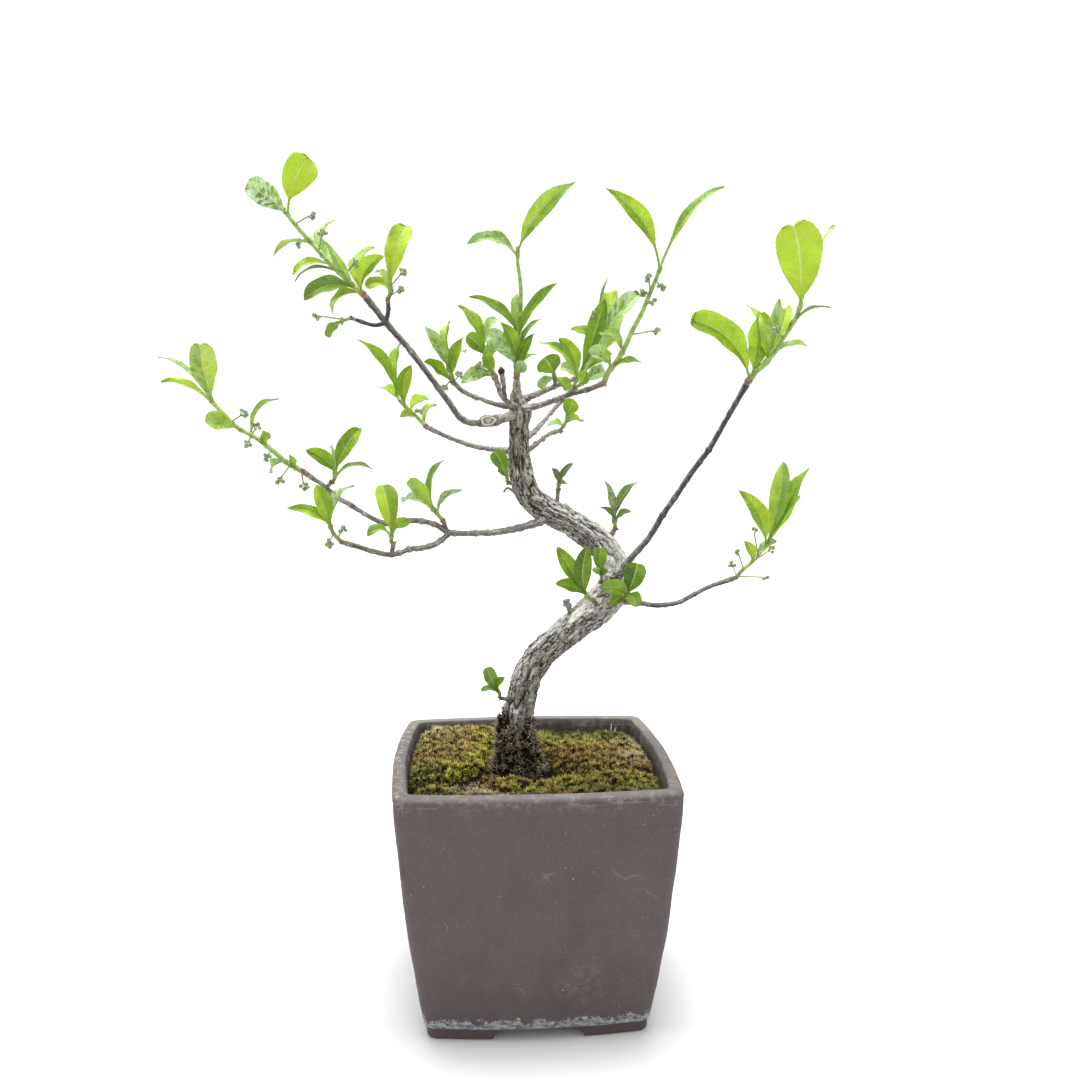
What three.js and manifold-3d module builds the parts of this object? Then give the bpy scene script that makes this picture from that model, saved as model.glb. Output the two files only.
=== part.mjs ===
// Japanese spindle tree bonsai in a square unglazed clay pot
//
// Lengths are millimetres, +X is right, +Y is away from the viewer and +Z is up. While it is built,
// the tree stands over the middle of the pot. The last lines move everything so that the origin is
// on the ground under the middle of the whole plant.

import * as THREE from 'three';
import { mergeVertices } from 'three/addons/utils/BufferGeometryUtils.js';
import Module from 'manifold-3d';

const wasm = await Module();
wasm.setup();

// Pot
const RIM_WIDTH = 107.5;
const BASE_WIDTH = 87.3;
const POT_HEIGHT = 93;
const FOOT_HEIGHT = 4.2;
const WALL = 5.4;
const FLOOR = 6.5;
const SIDE_BOW = 2.3;
const PROFILE_BULGE = 1.35;
const CORNER_RADIUS = 6;
const RIM_ROUNDING = 2.2;
const FOOT_SPACING = 31;
const FOOT_DEPTH = 12;
const DRAIN_RADIUS = 7;

// What fills the pot
const GAP = 0.3;
const SOIL_TOP = 84.8;
const NET_WIDTH = 20;
const NET_THICKNESS = 0.9;
const NET_HOLE = 3.6;
const NET_PITCH = 5.4;

// Leaves and buds
const BLADE_THICKNESS = 0.75;
const PETIOLE_WIDTH = 0.85;
const SMALL_LEAF = 6;
const TINY_LEAF = 5;
const STALK_RADIUS = 0.35;
const BEAD_RADIUS = 1.1;

// Every place on the tree is given as it is seen from in front: x and z on the upright plane through
// the middle of the pot, and the depth y that it really has. EYE is where it is seen from.
const EYE = new THREE.Vector3(-24, -400, 217);

function seen([x, z, y]) {
  const onPlane = new THREE.Vector3(x, 0, z);
  return onPlane.sub(EYE).multiplyScalar((y - EYE.y) / -EYE.y).add(EYE);
}

// Solids

function toSolid(geometry) {
  const bare = geometry.clone();
  bare.deleteAttribute('normal');
  bare.deleteAttribute('uv');
  const merged = mergeVertices(bare, 1e-4);
  const index = Array.from(merged.index.array);
  const triangles = [];
  for (let i = 0; i < index.length; i += 3) {
    const [a, b, c] = index.slice(i, i + 3);
    if (a !== b && b !== c && c !== a) triangles.push(a, b, c);
  }
  return new wasm.Manifold(
    new wasm.Mesh({
      numProp: 3,
      vertProperties: new Float32Array(merged.attributes.position.array),
      triVerts: new Uint32Array(triangles),
    }),
  );
}

function toGeometry(solid) {
  const mesh = solid.getMesh();
  const geometry = new THREE.BufferGeometry();
  geometry.setAttribute('position', new THREE.BufferAttribute(mesh.vertProperties, mesh.numProp));
  geometry.setIndex(new THREE.BufferAttribute(mesh.triVerts, 1));
  return geometry;
}

function fuse(geometries) {
  return geometries.map(toSolid).reduce((whole, solid) => whole.add(solid));
}

// Moves each corner of a geometry to where the function puts it.
function reshape(geometry, place) {
  const position = geometry.attributes.position;
  for (let i = 0; i < position.count; i += 1) {
    const corner = new THREE.Vector3().fromBufferAttribute(position, i);
    position.setXYZ(i, ...place(corner).toArray());
  }
  return geometry;
}

function polygon(sides, radius = 1) {
  const corners = [];
  for (let i = 0; i < sides; i += 1) {
    const angle = (i / sides) * 2 * Math.PI;
    corners.push(new THREE.Vector2(radius * Math.cos(angle), radius * Math.sin(angle)));
  }
  return corners;
}

// A round bar along a curve, with its radius at each step from a function. It is a straight extruded
// bar whose rings are set out along the curve. Its ends can be drawn out by a little.
function barAlong(curve, sides, steps, radiusAt, longer = 0) {
  const frames = curve.computeFrenetFrames(steps);
  const bar = new THREE.ExtrudeGeometry(new THREE.Shape(polygon(sides)), {
    depth: steps,
    steps,
    bevelEnabled: false,
  });
  return reshape(bar, (corner) => {
    const step = Math.round(corner.z);
    const radius = radiusAt(step, Math.atan2(corner.y, corner.x));
    const past = step === 0 ? -longer : step === steps ? longer : 0;
    return curve
      .getPointAt(step / steps)
      .addScaledVector(frames.tangents[step], past)
      .addScaledVector(frames.normals[step], radius * corner.x)
      .addScaledVector(frames.binormals[step], radius * corner.y);
  });
}

// A limb of the tree through the given points, each [x, z, y, radius], grown by extra all over.
function limb(points, sides, steps, extra = 0, ridges = () => 1) {
  const curve = new THREE.CatmullRomCurve3(points.map(seen), false, 'centripetal');
  const last = points.length - 1;
  const radiusAt = (step, angle) => {
    const along = curve.getUtoTmapping(step / steps) * last;
    const before = Math.min(Math.floor(along), last - 1);
    const radius = THREE.MathUtils.lerp(points[before][3], points[before + 1][3], along - before);
    return radius * ridges(step, angle) + extra;
  };
  return barAlong(curve, sides, steps, radiusAt, extra);
}

// The pot's outline in plan for a given half width at the corners: four bowed sides that meet in
// rounded corners.
function potOutline(half, radius = CORNER_RADIUS) {
  const shape = new THREE.Shape();
  const bulge = half + 2 * SIDE_BOW;
  const near = half - radius;
  shape.moveTo(-near, -half);
  shape.quadraticCurveTo(0, -bulge, near, -half);
  shape.quadraticCurveTo(half, -half, half, -near);
  shape.quadraticCurveTo(bulge, 0, half, near);
  shape.quadraticCurveTo(half, half, near, half);
  shape.quadraticCurveTo(0, bulge, -near, half);
  shape.quadraticCurveTo(-half, half, -half, near);
  shape.quadraticCurveTo(-bulge, 0, -half, -near);
  shape.quadraticCurveTo(-half, -half, -near, -half);
  return shape;
}

// Stacks an outline in levels, each [height, half width].
function stack(levels, radius = CORNER_RADIUS, curveSegments = 3) {
  const full = RIM_WIDTH / 2 - SIDE_BOW;
  const block = new THREE.ExtrudeGeometry(potOutline(full, radius), {
    depth: levels.length - 1,
    steps: levels.length - 1,
    curveSegments,
    bevelEnabled: false,
  });
  return reshape(block, ({ x, y, z }) => {
    const [height, half] = levels[Math.round(z)];
    return new THREE.Vector3((x * half) / full, (y * half) / full, height);
  });
}

// Half the pot's width, corner to corner, at a height: the sides lean out and are a little fuller
// half way up.
function halfAt(height) {
  const up = (height - FOOT_HEIGHT) / (POT_HEIGHT - FOOT_HEIGHT);
  const straight = THREE.MathUtils.lerp(BASE_WIDTH, RIM_WIDTH, up) / 2;
  return straight - SIDE_BOW + 4 * PROFILE_BULGE * up * (1 - up);
}

const FLOOR_TOP = FOOT_HEIGHT + FLOOR;

function makePot() {
  const edge = 1.2;
  const outside = [[FOOT_HEIGHT, halfAt(FOOT_HEIGHT) - edge]];
  for (const height of [FOOT_HEIGHT + edge, 26, 48, 70, POT_HEIGHT - RIM_ROUNDING]) {
    outside.push([height, halfAt(height)]);
  }
  outside.push([POT_HEIGHT - 0.7, halfAt(POT_HEIGHT) - 0.6]);
  outside.push([POT_HEIGHT, halfAt(POT_HEIGHT) - RIM_ROUNDING]);
  const inside = [];
  for (const height of [FLOOR_TOP, 38, 66, POT_HEIGHT - 0.8]) {
    inside.push([height, halfAt(height) - WALL]);
  }
  inside.push([POT_HEIGHT + 1, halfAt(POT_HEIGHT) - WALL + 1.5]);

  // The feet are a low ring under the pot, cut away in the middle of each side
  const footHalf = halfAt(FOOT_HEIGHT) - edge;
  const ring = toSolid(stack([[0, footHalf - 0.8], [1, footHalf], [FOOT_HEIGHT + 1, footHalf]]));
  const core = new THREE.BoxGeometry(
    2 * (footHalf - FOOT_DEPTH),
    2 * (footHalf - FOOT_DEPTH),
    2 * FOOT_HEIGHT,
  );
  const arch = new THREE.Shape();
  arch.moveTo(-FOOT_SPACING / 2 - 2, -1);
  arch.lineTo(FOOT_SPACING / 2 + 2, -1);
  arch.lineTo(FOOT_SPACING / 2 - 1, FOOT_HEIGHT);
  arch.lineTo(1 - FOOT_SPACING / 2, FOOT_HEIGHT);
  const slot = new THREE.ExtrudeGeometry(arch, { depth: BASE_WIDTH * 1.2, bevelEnabled: false });
  slot.translate(0, 0, -BASE_WIDTH * 0.6).rotateX(Math.PI / 2);
  const crossSlot = slot.clone().rotateZ(Math.PI / 2);
  const feet = ring.subtract(toSolid(core)).subtract(toSolid(slot)).subtract(toSolid(crossSlot));
  const drain = new THREE.CylinderGeometry(DRAIN_RADIUS, DRAIN_RADIUS, 4 * FLOOR, 12);
  drain.rotateX(Math.PI / 2);
  return toSolid(stack(outside))
    .add(feet)
    .subtract(toSolid(stack(inside, CORNER_RADIUS - 2)))
    .subtract(toSolid(drain));
}

// A plastic net lies over the drain hole and keeps the soil in.
function makeNet() {
  const plate = new THREE.BoxGeometry(NET_WIDTH, NET_WIDTH, NET_THICKNESS);
  let net = toSolid(plate);
  for (const column of [-1, 0, 1]) {
    for (const row of [-1, 0, 1]) {
      const hole = new THREE.BoxGeometry(NET_HOLE, NET_HOLE, 2 * NET_THICKNESS);
      net = net.subtract(toSolid(hole.translate(column * NET_PITCH, row * NET_PITCH, 0)));
    }
  }
  const geometry = toGeometry(net).translate(0, 0, FLOOR_TOP + GAP + NET_THICKNESS / 2);
  return toSolid(geometry);
}

// Wood

const TRUNK = [
  [-5, 58, 1, 4], [-6, 68, 0, 7], [-6, 78, 0, 8.3], [-6, 86, 0, 7.5], [-6, 92, 0, 6.9],
  [-6, 100, 0, 6.4], [-5.5, 108, 0, 5.9], [-4, 116, -1, 5.6], [-1.5, 124, -2, 5.6],
  [3, 131, -3, 5.5], [10, 137, -4, 5.5], [17.5, 143, -5, 5.8], [25.5, 149.5, -4, 6.3],
  [31, 156, -2, 6.1], [32.5, 163, 1, 5.8], [30, 170, 4, 5.5], [24, 176.5, 6, 5.3],
  [14, 183, 7, 4.9], [5, 188, 6, 4.9], [-1, 193, 5, 4.8], [-3.5, 200, 3, 4.6],
  [-4.5, 208, 2, 4.1], [-4.5, 215, 1, 3.7], [-4.5, 222, 0, 3.8], [-4.5, 227.5, 0, 3.4],
];

// Thick roots that hold the trunk in the soil
const ROOTS = [
  [[-6, 80, 0, 5], [-14, 76, -6, 4], [-24, 68, -14, 2.6], [-31, 58, -18, 1.3]],
  [[-6, 80, 0, 5], [-14, 77, 8, 4], [-20, 69, 19, 2.6], [-22, 58, 27, 1.3]],
  [[-6, 80, 0, 5], [3, 77, 7, 4], [13, 69, 16, 2.6], [20, 58, 20, 1.3]],
  [[-6, 80, 0, 5], [2, 76, -7, 4], [12, 68, -16, 2.8], [21, 57, -20, 1.3]],
];

// Branches and twigs as far as they are woody. Each green shoot starts at the end of one of them.
const TWIGS = {
  left: [[8, 185, 6.5, 2], [1, 182, 2.5, 1.7], [-12, 179, -7, 1.4], [-21, 178.5, -11, 1.2],
    [-29, 178.5, -14, 1.2], [-32, 179, -15, 1.5]],
  leftUpper: [[-32, 179, -15, 1.3], [-37, 182, -15, 1.2], [-45, 183.5, -14, 1.1],
    [-55, 182.5, -12, 1.2], [-61, 185, -11, 1], [-69, 190, -9, 1.1], [-73.5, 192.5, -8, 0.9],
    [-77, 196, -7, 1.1], [-84, 201, -6, 0.9]],
  leftLower: [[-31, 179, -15, 1.3], [-34, 176, -17, 1.2], [-39, 173.5, -20, 1.3],
    [-46, 172.5, -24, 1.1], [-53, 170.5, -28, 1.3], [-59, 171.5, -31, 1], [-65, 173.5, -34, 1],
    [-70, 175, -36, 1.1]],
  leftInner: [[-77, 196, -7, 0.9], [-75.5, 197.5, -9.5, 0.8]],
  leftMiddle: [[-53, 170.5, -28, 0.9], [-52.5, 173.5, -28.5, 0.8]],
  fork: [[-32, 179, -15, 1], [-33, 182, -15.5, 0.8]],
  backLeft: [[-4, 209, 3, 1.5], [-12, 210, 8, 1.2], [-20, 211, 14, 1], [-26.5, 213, 18, 1],
    [-34, 216, 22, 0.9], [-38, 218, 24, 1.2]],
  highLeft: [[-5, 224, -1, 2], [-10, 222, -5, 1.9], [-14, 221, -7, 2.6], [-17, 220.5, -8, 2.4],
    [-20, 220, -9, 1.4], [-26, 221.5, -11, 1.4], [-31, 228, -12, 1.3], [-38, 237.5, -12, 1.2],
    [-46, 248, -10, 1.3], [-54, 257, -8, 1.6], [-57, 261, -7.5, 1.3], [-61, 266, -6, 1.5]],
  highInner: [[-54, 257, -8, 1.1], [-53, 261, -9.5, 0.9], [-53, 264, -10, 0.9]],
  highOuter: [[-54, 257, -8, 1.1], [-58, 256, -9.5, 0.8], [-62, 257, -11, 0.9],
    [-65, 258, -12, 0.7]],
  frontLeft: [[-5, 226, 1, 1.5], [-13, 227, 4, 1.1], [-19, 229, 7, 0.9], [-25, 231.5, 9, 1],
    [-28.5, 234.5, 10, 1]],
  crown: [[-4.5, 226, 0, 3], [-5.5, 230, 0, 2.4], [-5.5, 233, 0, 1.8], [-5.5, 236, 0, 1.5]],
  crownLeft: [[-6, 226, -3, 1.4], [-11, 230, -7, 1], [-13, 235.5, -9, 1]],
  cutStub: [[-10, 229, -6, 1.1], [-10.5, 235, -7, 1], [-11.5, 241, -7.5, 1.1]],
  rightInner: [[-4, 228.5, 1, 1.7], [0, 230, 4, 1.4], [7, 233, 10, 1.2], [12, 235, 13, 1],
    [16, 236.5, 16, 1.1]],
  rightSpur: [[9, 234, 11.5, 0.9], [9, 235.8, 8.5, 0.8]],
  rightTip: [[-4, 226, -2, 1.7], [0, 226, -4, 1.4], [7, 228, -8, 1.2], [15, 231, -13, 1.1],
    [22.5, 233, -18, 1], [26, 234.5, -20, 1.3]],
  rightUnder: [[15, 231, -13, 0.9], [16, 232.6, -15.5, 0.8]],
  backRight: [[-4, 214, 2, 1.4], [0, 216, 6, 1.2], [4, 220, 14, 1], [7, 223.5, 20, 0.9],
    [11, 228, 26, 1]],
  backLow: [[-4, 208, 3, 1.4], [-1, 210, 6, 1.1], [3.5, 213.5, 14, 0.9], [7, 216, 20, 0.9],
    [10, 217, 24, 1]],
  farRight: [[27, 153, -5, 3], [31, 159, -9, 2.4], [35, 163.5, -11, 1.8], [38, 168, -12, 1.5],
    [45, 176, -13, 1.3], [50.5, 185, -14, 1.6], [56, 193, -15, 1.2], [62, 202, -16, 1.2],
    [68, 210, -17, 1.5], [74, 220.5, -18, 1.1], [80, 231, -19, 1.2], [82, 234.5, -19, 1.5]],
  lowRight: [[28, 151, -2, 2], [35, 151.5, 3, 1.5], [41, 151, 7, 1.2], [49, 150, 12, 1.3],
    [57, 151, 17, 1.1], [62, 153.5, 20, 1.2], [69, 157, 24, 1], [78, 160, 28, 1.3]],
  foot: [[-5, 113, -1, 1.2], [-11, 114.2, -5.5, 0.8]],
  bendLeft: [[26, 149, -6, 1.2], [24.5, 151.5, -12, 0.8]],
  bendMiddle: [[28.5, 157.5, -5, 1.1], [27.2, 159, -9.8, 0.7]],
  bendRight: [[31, 151.5, -6, 1.1], [35.5, 152, -11.5, 0.8]],
  trunkLeft: [[-4, 196, 3, 1.1], [-8, 197.5, -0.8, 0.8]],
  trunkBack: [[9.5, 186, 7, 1.1], [10, 193, 9, 0.8]],
  knob: [[27.5, 174, 5, 1.6], [31.5, 178.8, 3, 1.1]],
  deadLow: [[18, 145, -5, 1], [14, 150, -8, 0.8], [13.5, 152.5, -8.5, 1]],
};

// Long fissured ridges that wind slowly round the trunk
function barkRidges(step, angle) {
  const wide = 0.06 * Math.sin(3 * angle + 0.35 * step);
  const narrow = 0.05 * Math.sin(5 * angle - 0.6 * step);
  return 1 + wide + narrow;
}

function makeWood() {
  const parts = [limb(TRUNK, 12, 30, 0, barkRidges)];
  for (const root of ROOTS) parts.push(limb(root, 5, 3));
  for (const points of Object.values(TWIGS)) parts.push(limb(points, 5, points.length - 1));
  return fuse(parts);
}

// The plain hole that the trunk and its roots stand in, clear of the deepest ridges of the bark
function trunkHole() {
  const clearance = 1.16;
  const foot = TRUNK.slice(0, 7).map(([x, z, y, radius]) => [x, z, y, radius * clearance]);
  const parts = [limb(foot, 12, 6, GAP)];
  for (const root of ROOTS) parts.push(limb(root, 5, 3, GAP));
  return fuse(parts);
}

function makeSoil() {
  const sides = [];
  for (const height of [FLOOR_TOP + GAP, 38, 66, SOIL_TOP]) {
    sides.push([height, halfAt(height) - WALL - GAP - 0.2]);
  }
  const recess = new THREE.BoxGeometry(
    NET_WIDTH + 2 * GAP,
    NET_WIDTH + 2 * GAP,
    2 * (NET_THICKNESS + GAP),
  ).translate(0, 0, FLOOR_TOP + GAP);
  return toSolid(stack(sides, CORNER_RADIUS - 2))
    .subtract(toSolid(recess))
    .subtract(trunkHole());
}

// Moss cushions

const CUSHIONS = {
  moss_left: {
    colour: '#8d7a24',
    top: [-27, 20, 5.2],
    outline: [[-44.5, -16], [-46, 5], [-45.4, 28], [-42.4, 42], [-26, 45.4], [-11, 44.4], [-11, 28],
      [-17.5, 13], [-20, 1.5], [-26, -7.5], [-32, -14], [-39, -18]],
  },
  moss_front_left: {
    colour: '#4c6a22',
    top: [-28, -36, 3.6],
    outline: [[-41, -24], [-33, -22], [-24, -25], [-15, -30], [-11, -37], [-15, -44], [-28, -45.4],
      [-40, -43.4], [-44.4, -34]],
  },
  moss_front: {
    colour: '#7d7a2a',
    top: [-11, -20, 2.6],
    outline: [[-20, -14.5], [-13, -14], [-6, -14.5], [-1, -17], [-4, -23], [-9, -29.5], [-16, -26],
      [-22, -20]],
  },
  moss_front_right: {
    colour: '#6f8a20',
    top: [23, -30, 4.2],
    outline: [[-7, -33], [2, -22], [14, -15.5], [28, -14], [43.4, -13], [45.4, -28], [41.4, -43],
      [25, -45.4], [5, -45.4], [-8, -43]],
  },
  moss_back_right: {
    colour: '#94702c',
    top: [26, 20, 4.6],
    outline: [[9, -6], [10, 6], [4, 16], [-7, 20], [-9, 32], [-7, 43.4], [12, 45], [27, 45.8],
      [41, 42.6], [45.4, 25], [46, 8], [44.4, -10], [30, -12], [17, -12]],
  },
};

// Height of the small clumps in the moss at a place
function clumps(x, y) {
  return 0.35 * Math.sin(1.3 * x + 0.7 * y) + 0.35 * Math.sin(0.8 * x - 1.5 * y + 2);
}

function makeCushion({ top, outline }) {
  const [cx, cy, height] = top;
  const edge = new THREE.CatmullRomCurve3(
    outline.map(([x, y]) => new THREE.Vector3(x - cx, y - cy, 0)),
    true,
    'centripetal',
  );
  const around = 20;
  const profile = [[0, 0], [0.99, 0], [1, 0.3], [0.86, 0.82], [0.5, 1], [0, 1]];
  const dome = new THREE.LatheGeometry(profile.map(([r, h]) => new THREE.Vector2(r, h)), around);
  dome.rotateX(Math.PI / 2);
  return toSolid(
    reshape(dome, (corner) => {
      const reach = Math.hypot(corner.x, corner.y);
      const turn = Math.atan2(corner.y, corner.x) / (2 * Math.PI);
      const rim = edge.getPoint((1 - Math.round(turn * around) / around) % 1);
      const x = cx + rim.x * reach;
      const y = cy + rim.y * reach;
      const rise = corner.z > 0.3 ? height * corner.z + clumps(x, y) : height * corner.z;
      return new THREE.Vector3(x, y, SOIL_TOP + GAP + rise);
    }),
  );
}

// Moss climbs the foot of the trunk in a collar that gets thinner upwards.
function makeCollar() {
  const foot = [
    [-6, SOIL_TOP + GAP, 0, 11.8], [-6, 87.6, 0, 10.6], [-6, 91.4, 0, 9.7], [-6, 96, 0, 9.2],
    [-6, 101.5, 0, 8.5],
  ];
  const lumps = (step, angle) => {
    const slow = 0.04 * Math.sin(2 * angle + step);
    const quick = 0.03 * Math.sin(5 * angle + 2 * step);
    return 1 + slow + quick;
  };
  return toSolid(limb(foot, 12, 4, 0, lumps)).subtract(trunkHole());
}

// Leaves

// Half the width of a leaf along its length, as a share of its widest half: a slender pointed leaf,
// a broad one that is widest towards its round tip, a small one that is still opening and a tiny
// one that has only just left its bud.
const SLENDER = { at: [0, 0.16, 0.42, 0.72, 1], half: [0, 0.22, 0.96, 0.88, 0] };
const BROAD = { at: [0, 0.16, 0.45, 0.8, 1], half: [0, 0.18, 0.86, 1, 0.4] };
const SHORT = { at: [0, 0.28, 0.65, 1], half: [0, 0.62, 1, 0] };
const TINY = { at: [0, 0.55, 1], half: [0, 1, 0] };

// A leaf is a flat grid, three corners across, bent to the blade and then thickened: its upper and
// lower faces are split alike.
function makeLeaf(root, [x, z, y, width, turn, fold], order) {
  const tip = seen([x, z, y]);
  const along = tip.clone().sub(root);
  const length = along.length();
  along.normalize();
  const face = EYE.clone().sub(root);
  face.addScaledVector(along, -face.dot(along)).normalize();
  face.applyAxisAngle(along, THREE.MathUtils.degToRad(turn));
  const across = new THREE.Vector3().crossVectors(along, face);
  const plump = width / length > 0.45;
  const large = plump ? BROAD : SLENDER;
  const small = width <= TINY_LEAF ? TINY : SHORT;
  const form = width <= SMALL_LEAF ? small : large;
  const rows = form.at.length - 1;
  const lift = THREE.MathUtils.degToRad(fold);
  const arch = length * (0.05 + 0.03 * Math.sin(1.7 * order));

  const placeRoot = (column, side) => root
    .clone()
    .addScaledVector(across, (column * PETIOLE_WIDTH) / 2)
    .addScaledVector(face, (side * BLADE_THICKNESS) / 2);
  const place = (column, row, side) => {
    const share = form.at[row];
    if (row === 0) return placeRoot(column || -1, side);
    const half = (form.half[row] * width) / 2;
    const notch = form === BROAD && row === rows && column === 0 ? 0.05 * length : 0;
    const bend = arch * 4 * share * (1 - share) + half * Math.abs(column) * Math.sin(lift);
    return root
      .clone()
      .addScaledVector(along, share * length - notch)
      .addScaledVector(across, column * half * Math.cos(lift))
      .addScaledVector(face, bend + (side * BLADE_THICKNESS) / 2);
  };
  const corners = [];
  for (const side of [1, -1]) {
    for (let row = 0; row <= rows; row += 1) {
      for (const column of [-1, 0, 1]) corners.push(place(column, row, side));
    }
  }
  const lower = 3 * (rows + 1);
  const faces = [];
  const quad = (a, b, c, d) => faces.push(a, b, c, a, c, d);
  for (let row = 0; row < rows; row += 1) {
    for (const column of [0, 1]) {
      const a = 3 * row + column;
      faces.push(a, a + 1, a + 4, a, a + 4, a + 3);
      faces.push(lower + a, lower + a + 4, lower + a + 1, lower + a, lower + a + 3, lower + a + 4);
    }
    const left = 3 * row;
    quad(left, left + 3, lower + left + 3, lower + left);
    quad(left + 5, left + 2, lower + left + 2, lower + left + 5);
  }
  const end = 3 * rows;
  for (const column of [0, 1]) {
    quad(column + 1, column, lower + column, lower + column + 1);
    quad(end + column, end + column + 1, lower + end + column + 1, lower + end + column);
  }
  const geometry = new THREE.BufferGeometry().setFromPoints(corners);
  geometry.setIndex(faces);
  return geometry;
}

// A bud is a bead on a fine stalk: a three-sided bar that swells at its end.
function makeBud(root, [x, z, y]) {
  const end = seen([x, z, y]);
  const along = end.clone().sub(root).normalize();
  const tip = end.clone().addScaledVector(along, BEAD_RADIUS);
  const neck = end.clone().addScaledVector(along, -BEAD_RADIUS);
  const radii = [STALK_RADIUS, STALK_RADIUS, BEAD_RADIUS, STALK_RADIUS];
  const places = [root, neck, end, tip];
  const bar = new THREE.ExtrudeGeometry(new THREE.Shape(polygon(3)), {
    depth: 3,
    steps: 3,
    bevelEnabled: false,
  });
  const turn = new THREE.Quaternion().setFromUnitVectors(new THREE.Vector3(0, 0, 1), along);
  return reshape(bar, ({ x: across, y: up, z: step }) => {
    const radius = radii[Math.round(step)];
    const ring = new THREE.Vector3(across * radius, up * radius, 0).applyQuaternion(turn);
    return ring.add(places[Math.round(step)]);
  });
}

const shoots = [];

// A green shoot grows on from the end of a twig. Its four-angled stem runs through the given points
// and ends thinner. Each leaf is [where it leaves the stem, x, z, y of its tip, width, turn, fold]
// and each bud [where, x, z, y].
function shoot(name, twig, stem, [thick, thin], leaves, buds = []) {
  const wood = TWIGS[twig].map(seen);
  const end = wood.at(-1);
  const onward = new THREE.CatmullRomCurve3(wood, false, 'centripetal').getTangentAt(1);
  const start = end.clone().addScaledVector(onward, GAP + 0.05);
  const straight = start.clone().addScaledVector(onward, 1);
  const path = [start, straight, ...stem.map(seen)];
  const curve = new THREE.CatmullRomCurve3(path, false, 'centripetal');
  const steps = path.length - 1;
  const parts = [
    barAlong(curve, 4, steps, (step) => THREE.MathUtils.lerp(thick, thin, step / steps)),
  ];
  leaves.forEach(([where, ...leaf], order) => {
    parts.push(makeLeaf(curve.getPointAt(where), leaf, order));
  });
  for (const [where, ...bud] of buds) parts.push(makeBud(curve.getPointAt(where), bud));
  shoots.push([name, fuse(parts)]);
}

shoot('shoot_left_tip', 'leftUpper', [
  [-91.5, 205.5, -4], [-96, 209.5, -3], [-103, 215, -1], [-108.5, 218, 0], [-115.5, 225, 2],
  [-118.5, 228.5, 3],
], [1, 0.7], [
  [0.95, -121.5, 249.5, -3, 10.5, 10, 12], [0.98, -137, 245, 12, 8, 55, 20],
  [0.98, -136, 235.5, -9, 7, 62, 20], [0.65, -120.5, 221, -8, 8, 25, 20],
  [0.55, -94, 229.5, 8, 7, -55, 25], [0.1, -90, 208, -17, 7, 20, 30],
  [0.2, -97, 201.5, 6, 5, 50, 20], [0.4, -99.5, 217, -12, 6, 20, 30],
], [
  [0.75, -106, 224, -3], [0.55, -101.5, 219.5, 2], [0.55, -106, 211.5, -4], [0.35, -99, 206.5, -6],
  [0.15, -95, 198, -8], [0.05, -85, 195.5, -2],
]);

shoot('shoot_left_inner', 'leftInner', [[-74, 199, -10], [-73.5, 202, -11]], [0.8, 0.6], [
  [0.8, -84, 210, -19, 6, 20, 20], [0.95, -63.5, 218.5, -4, 7, -15, 20],
  [0.65, -60, 203.5, -16, 7, -68, 20], [0.85, -74, 210.5, 2, 6, 30, 20],
]);

shoot('shoot_low_left_tip', 'leftLower', [[-74.5, 178.5, -37], [-76, 182, -38]], [0.8, 0.6], [
  [0.9, -80.5, 197, -42, 6.5, 15, 20], [0.95, -67, 197, -29, 6.5, -40, 20],
  [0.95, -91.5, 188.5, -46, 6, 30, 20],
], [
  [0.35, -71, 181, -41], [0.6, -77, 174.5, -42],
]);

shoot('shoot_left_middle', 'leftMiddle', [[-53, 175, -29], [-53, 178, -29]], [0.8, 0.6], [
  [0.95, -56, 197, -25, 7.5, 5, 15], [0.9, -62, 178, -37, 5, 60, 20],
  [0.9, -46.5, 182.5, -36, 5, -50, 20],
]);

shoot('shoot_fork', 'fork', [[-34.5, 184.5, -16], [-37.5, 188, -16]], [0.8, 0.6], [
  [0.95, -33.5, 206.5, -10, 6.5, -50, 20], [0.98, -46.5, 198.5, -20, 6.5, 25, 20],
  [0.9, -48.5, 191, -6, 7, 60, 20], [0.65, -26.5, 195, -24, 6, -45, 20],
]);

shoot('shoot_back_left', 'backLeft', [
  [-42, 221.5, 26], [-46.5, 225.5, 28], [-50, 230, 30], [-50, 234.5, 31],
], [0.9, 0.6], [
  [0.85, -64, 251, 24, 6, 30, 25], [0.95, -48.5, 250.5, 39, 6, -50, 20],
  [0.55, -45, 241.5, 20, 7, -10, 30], [0.7, -56.5, 233.5, 38, 6, 50, 20],
  [0.2, -49, 222.5, 17, 5, 50, 25], [0.1, -35.5, 227, 32, 4.5, -50, 25],
  [0.45, -38.5, 229, 37, 6, -40, 20],
], [
  [0.4, -41.5, 224.5, 20],
]);

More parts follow.
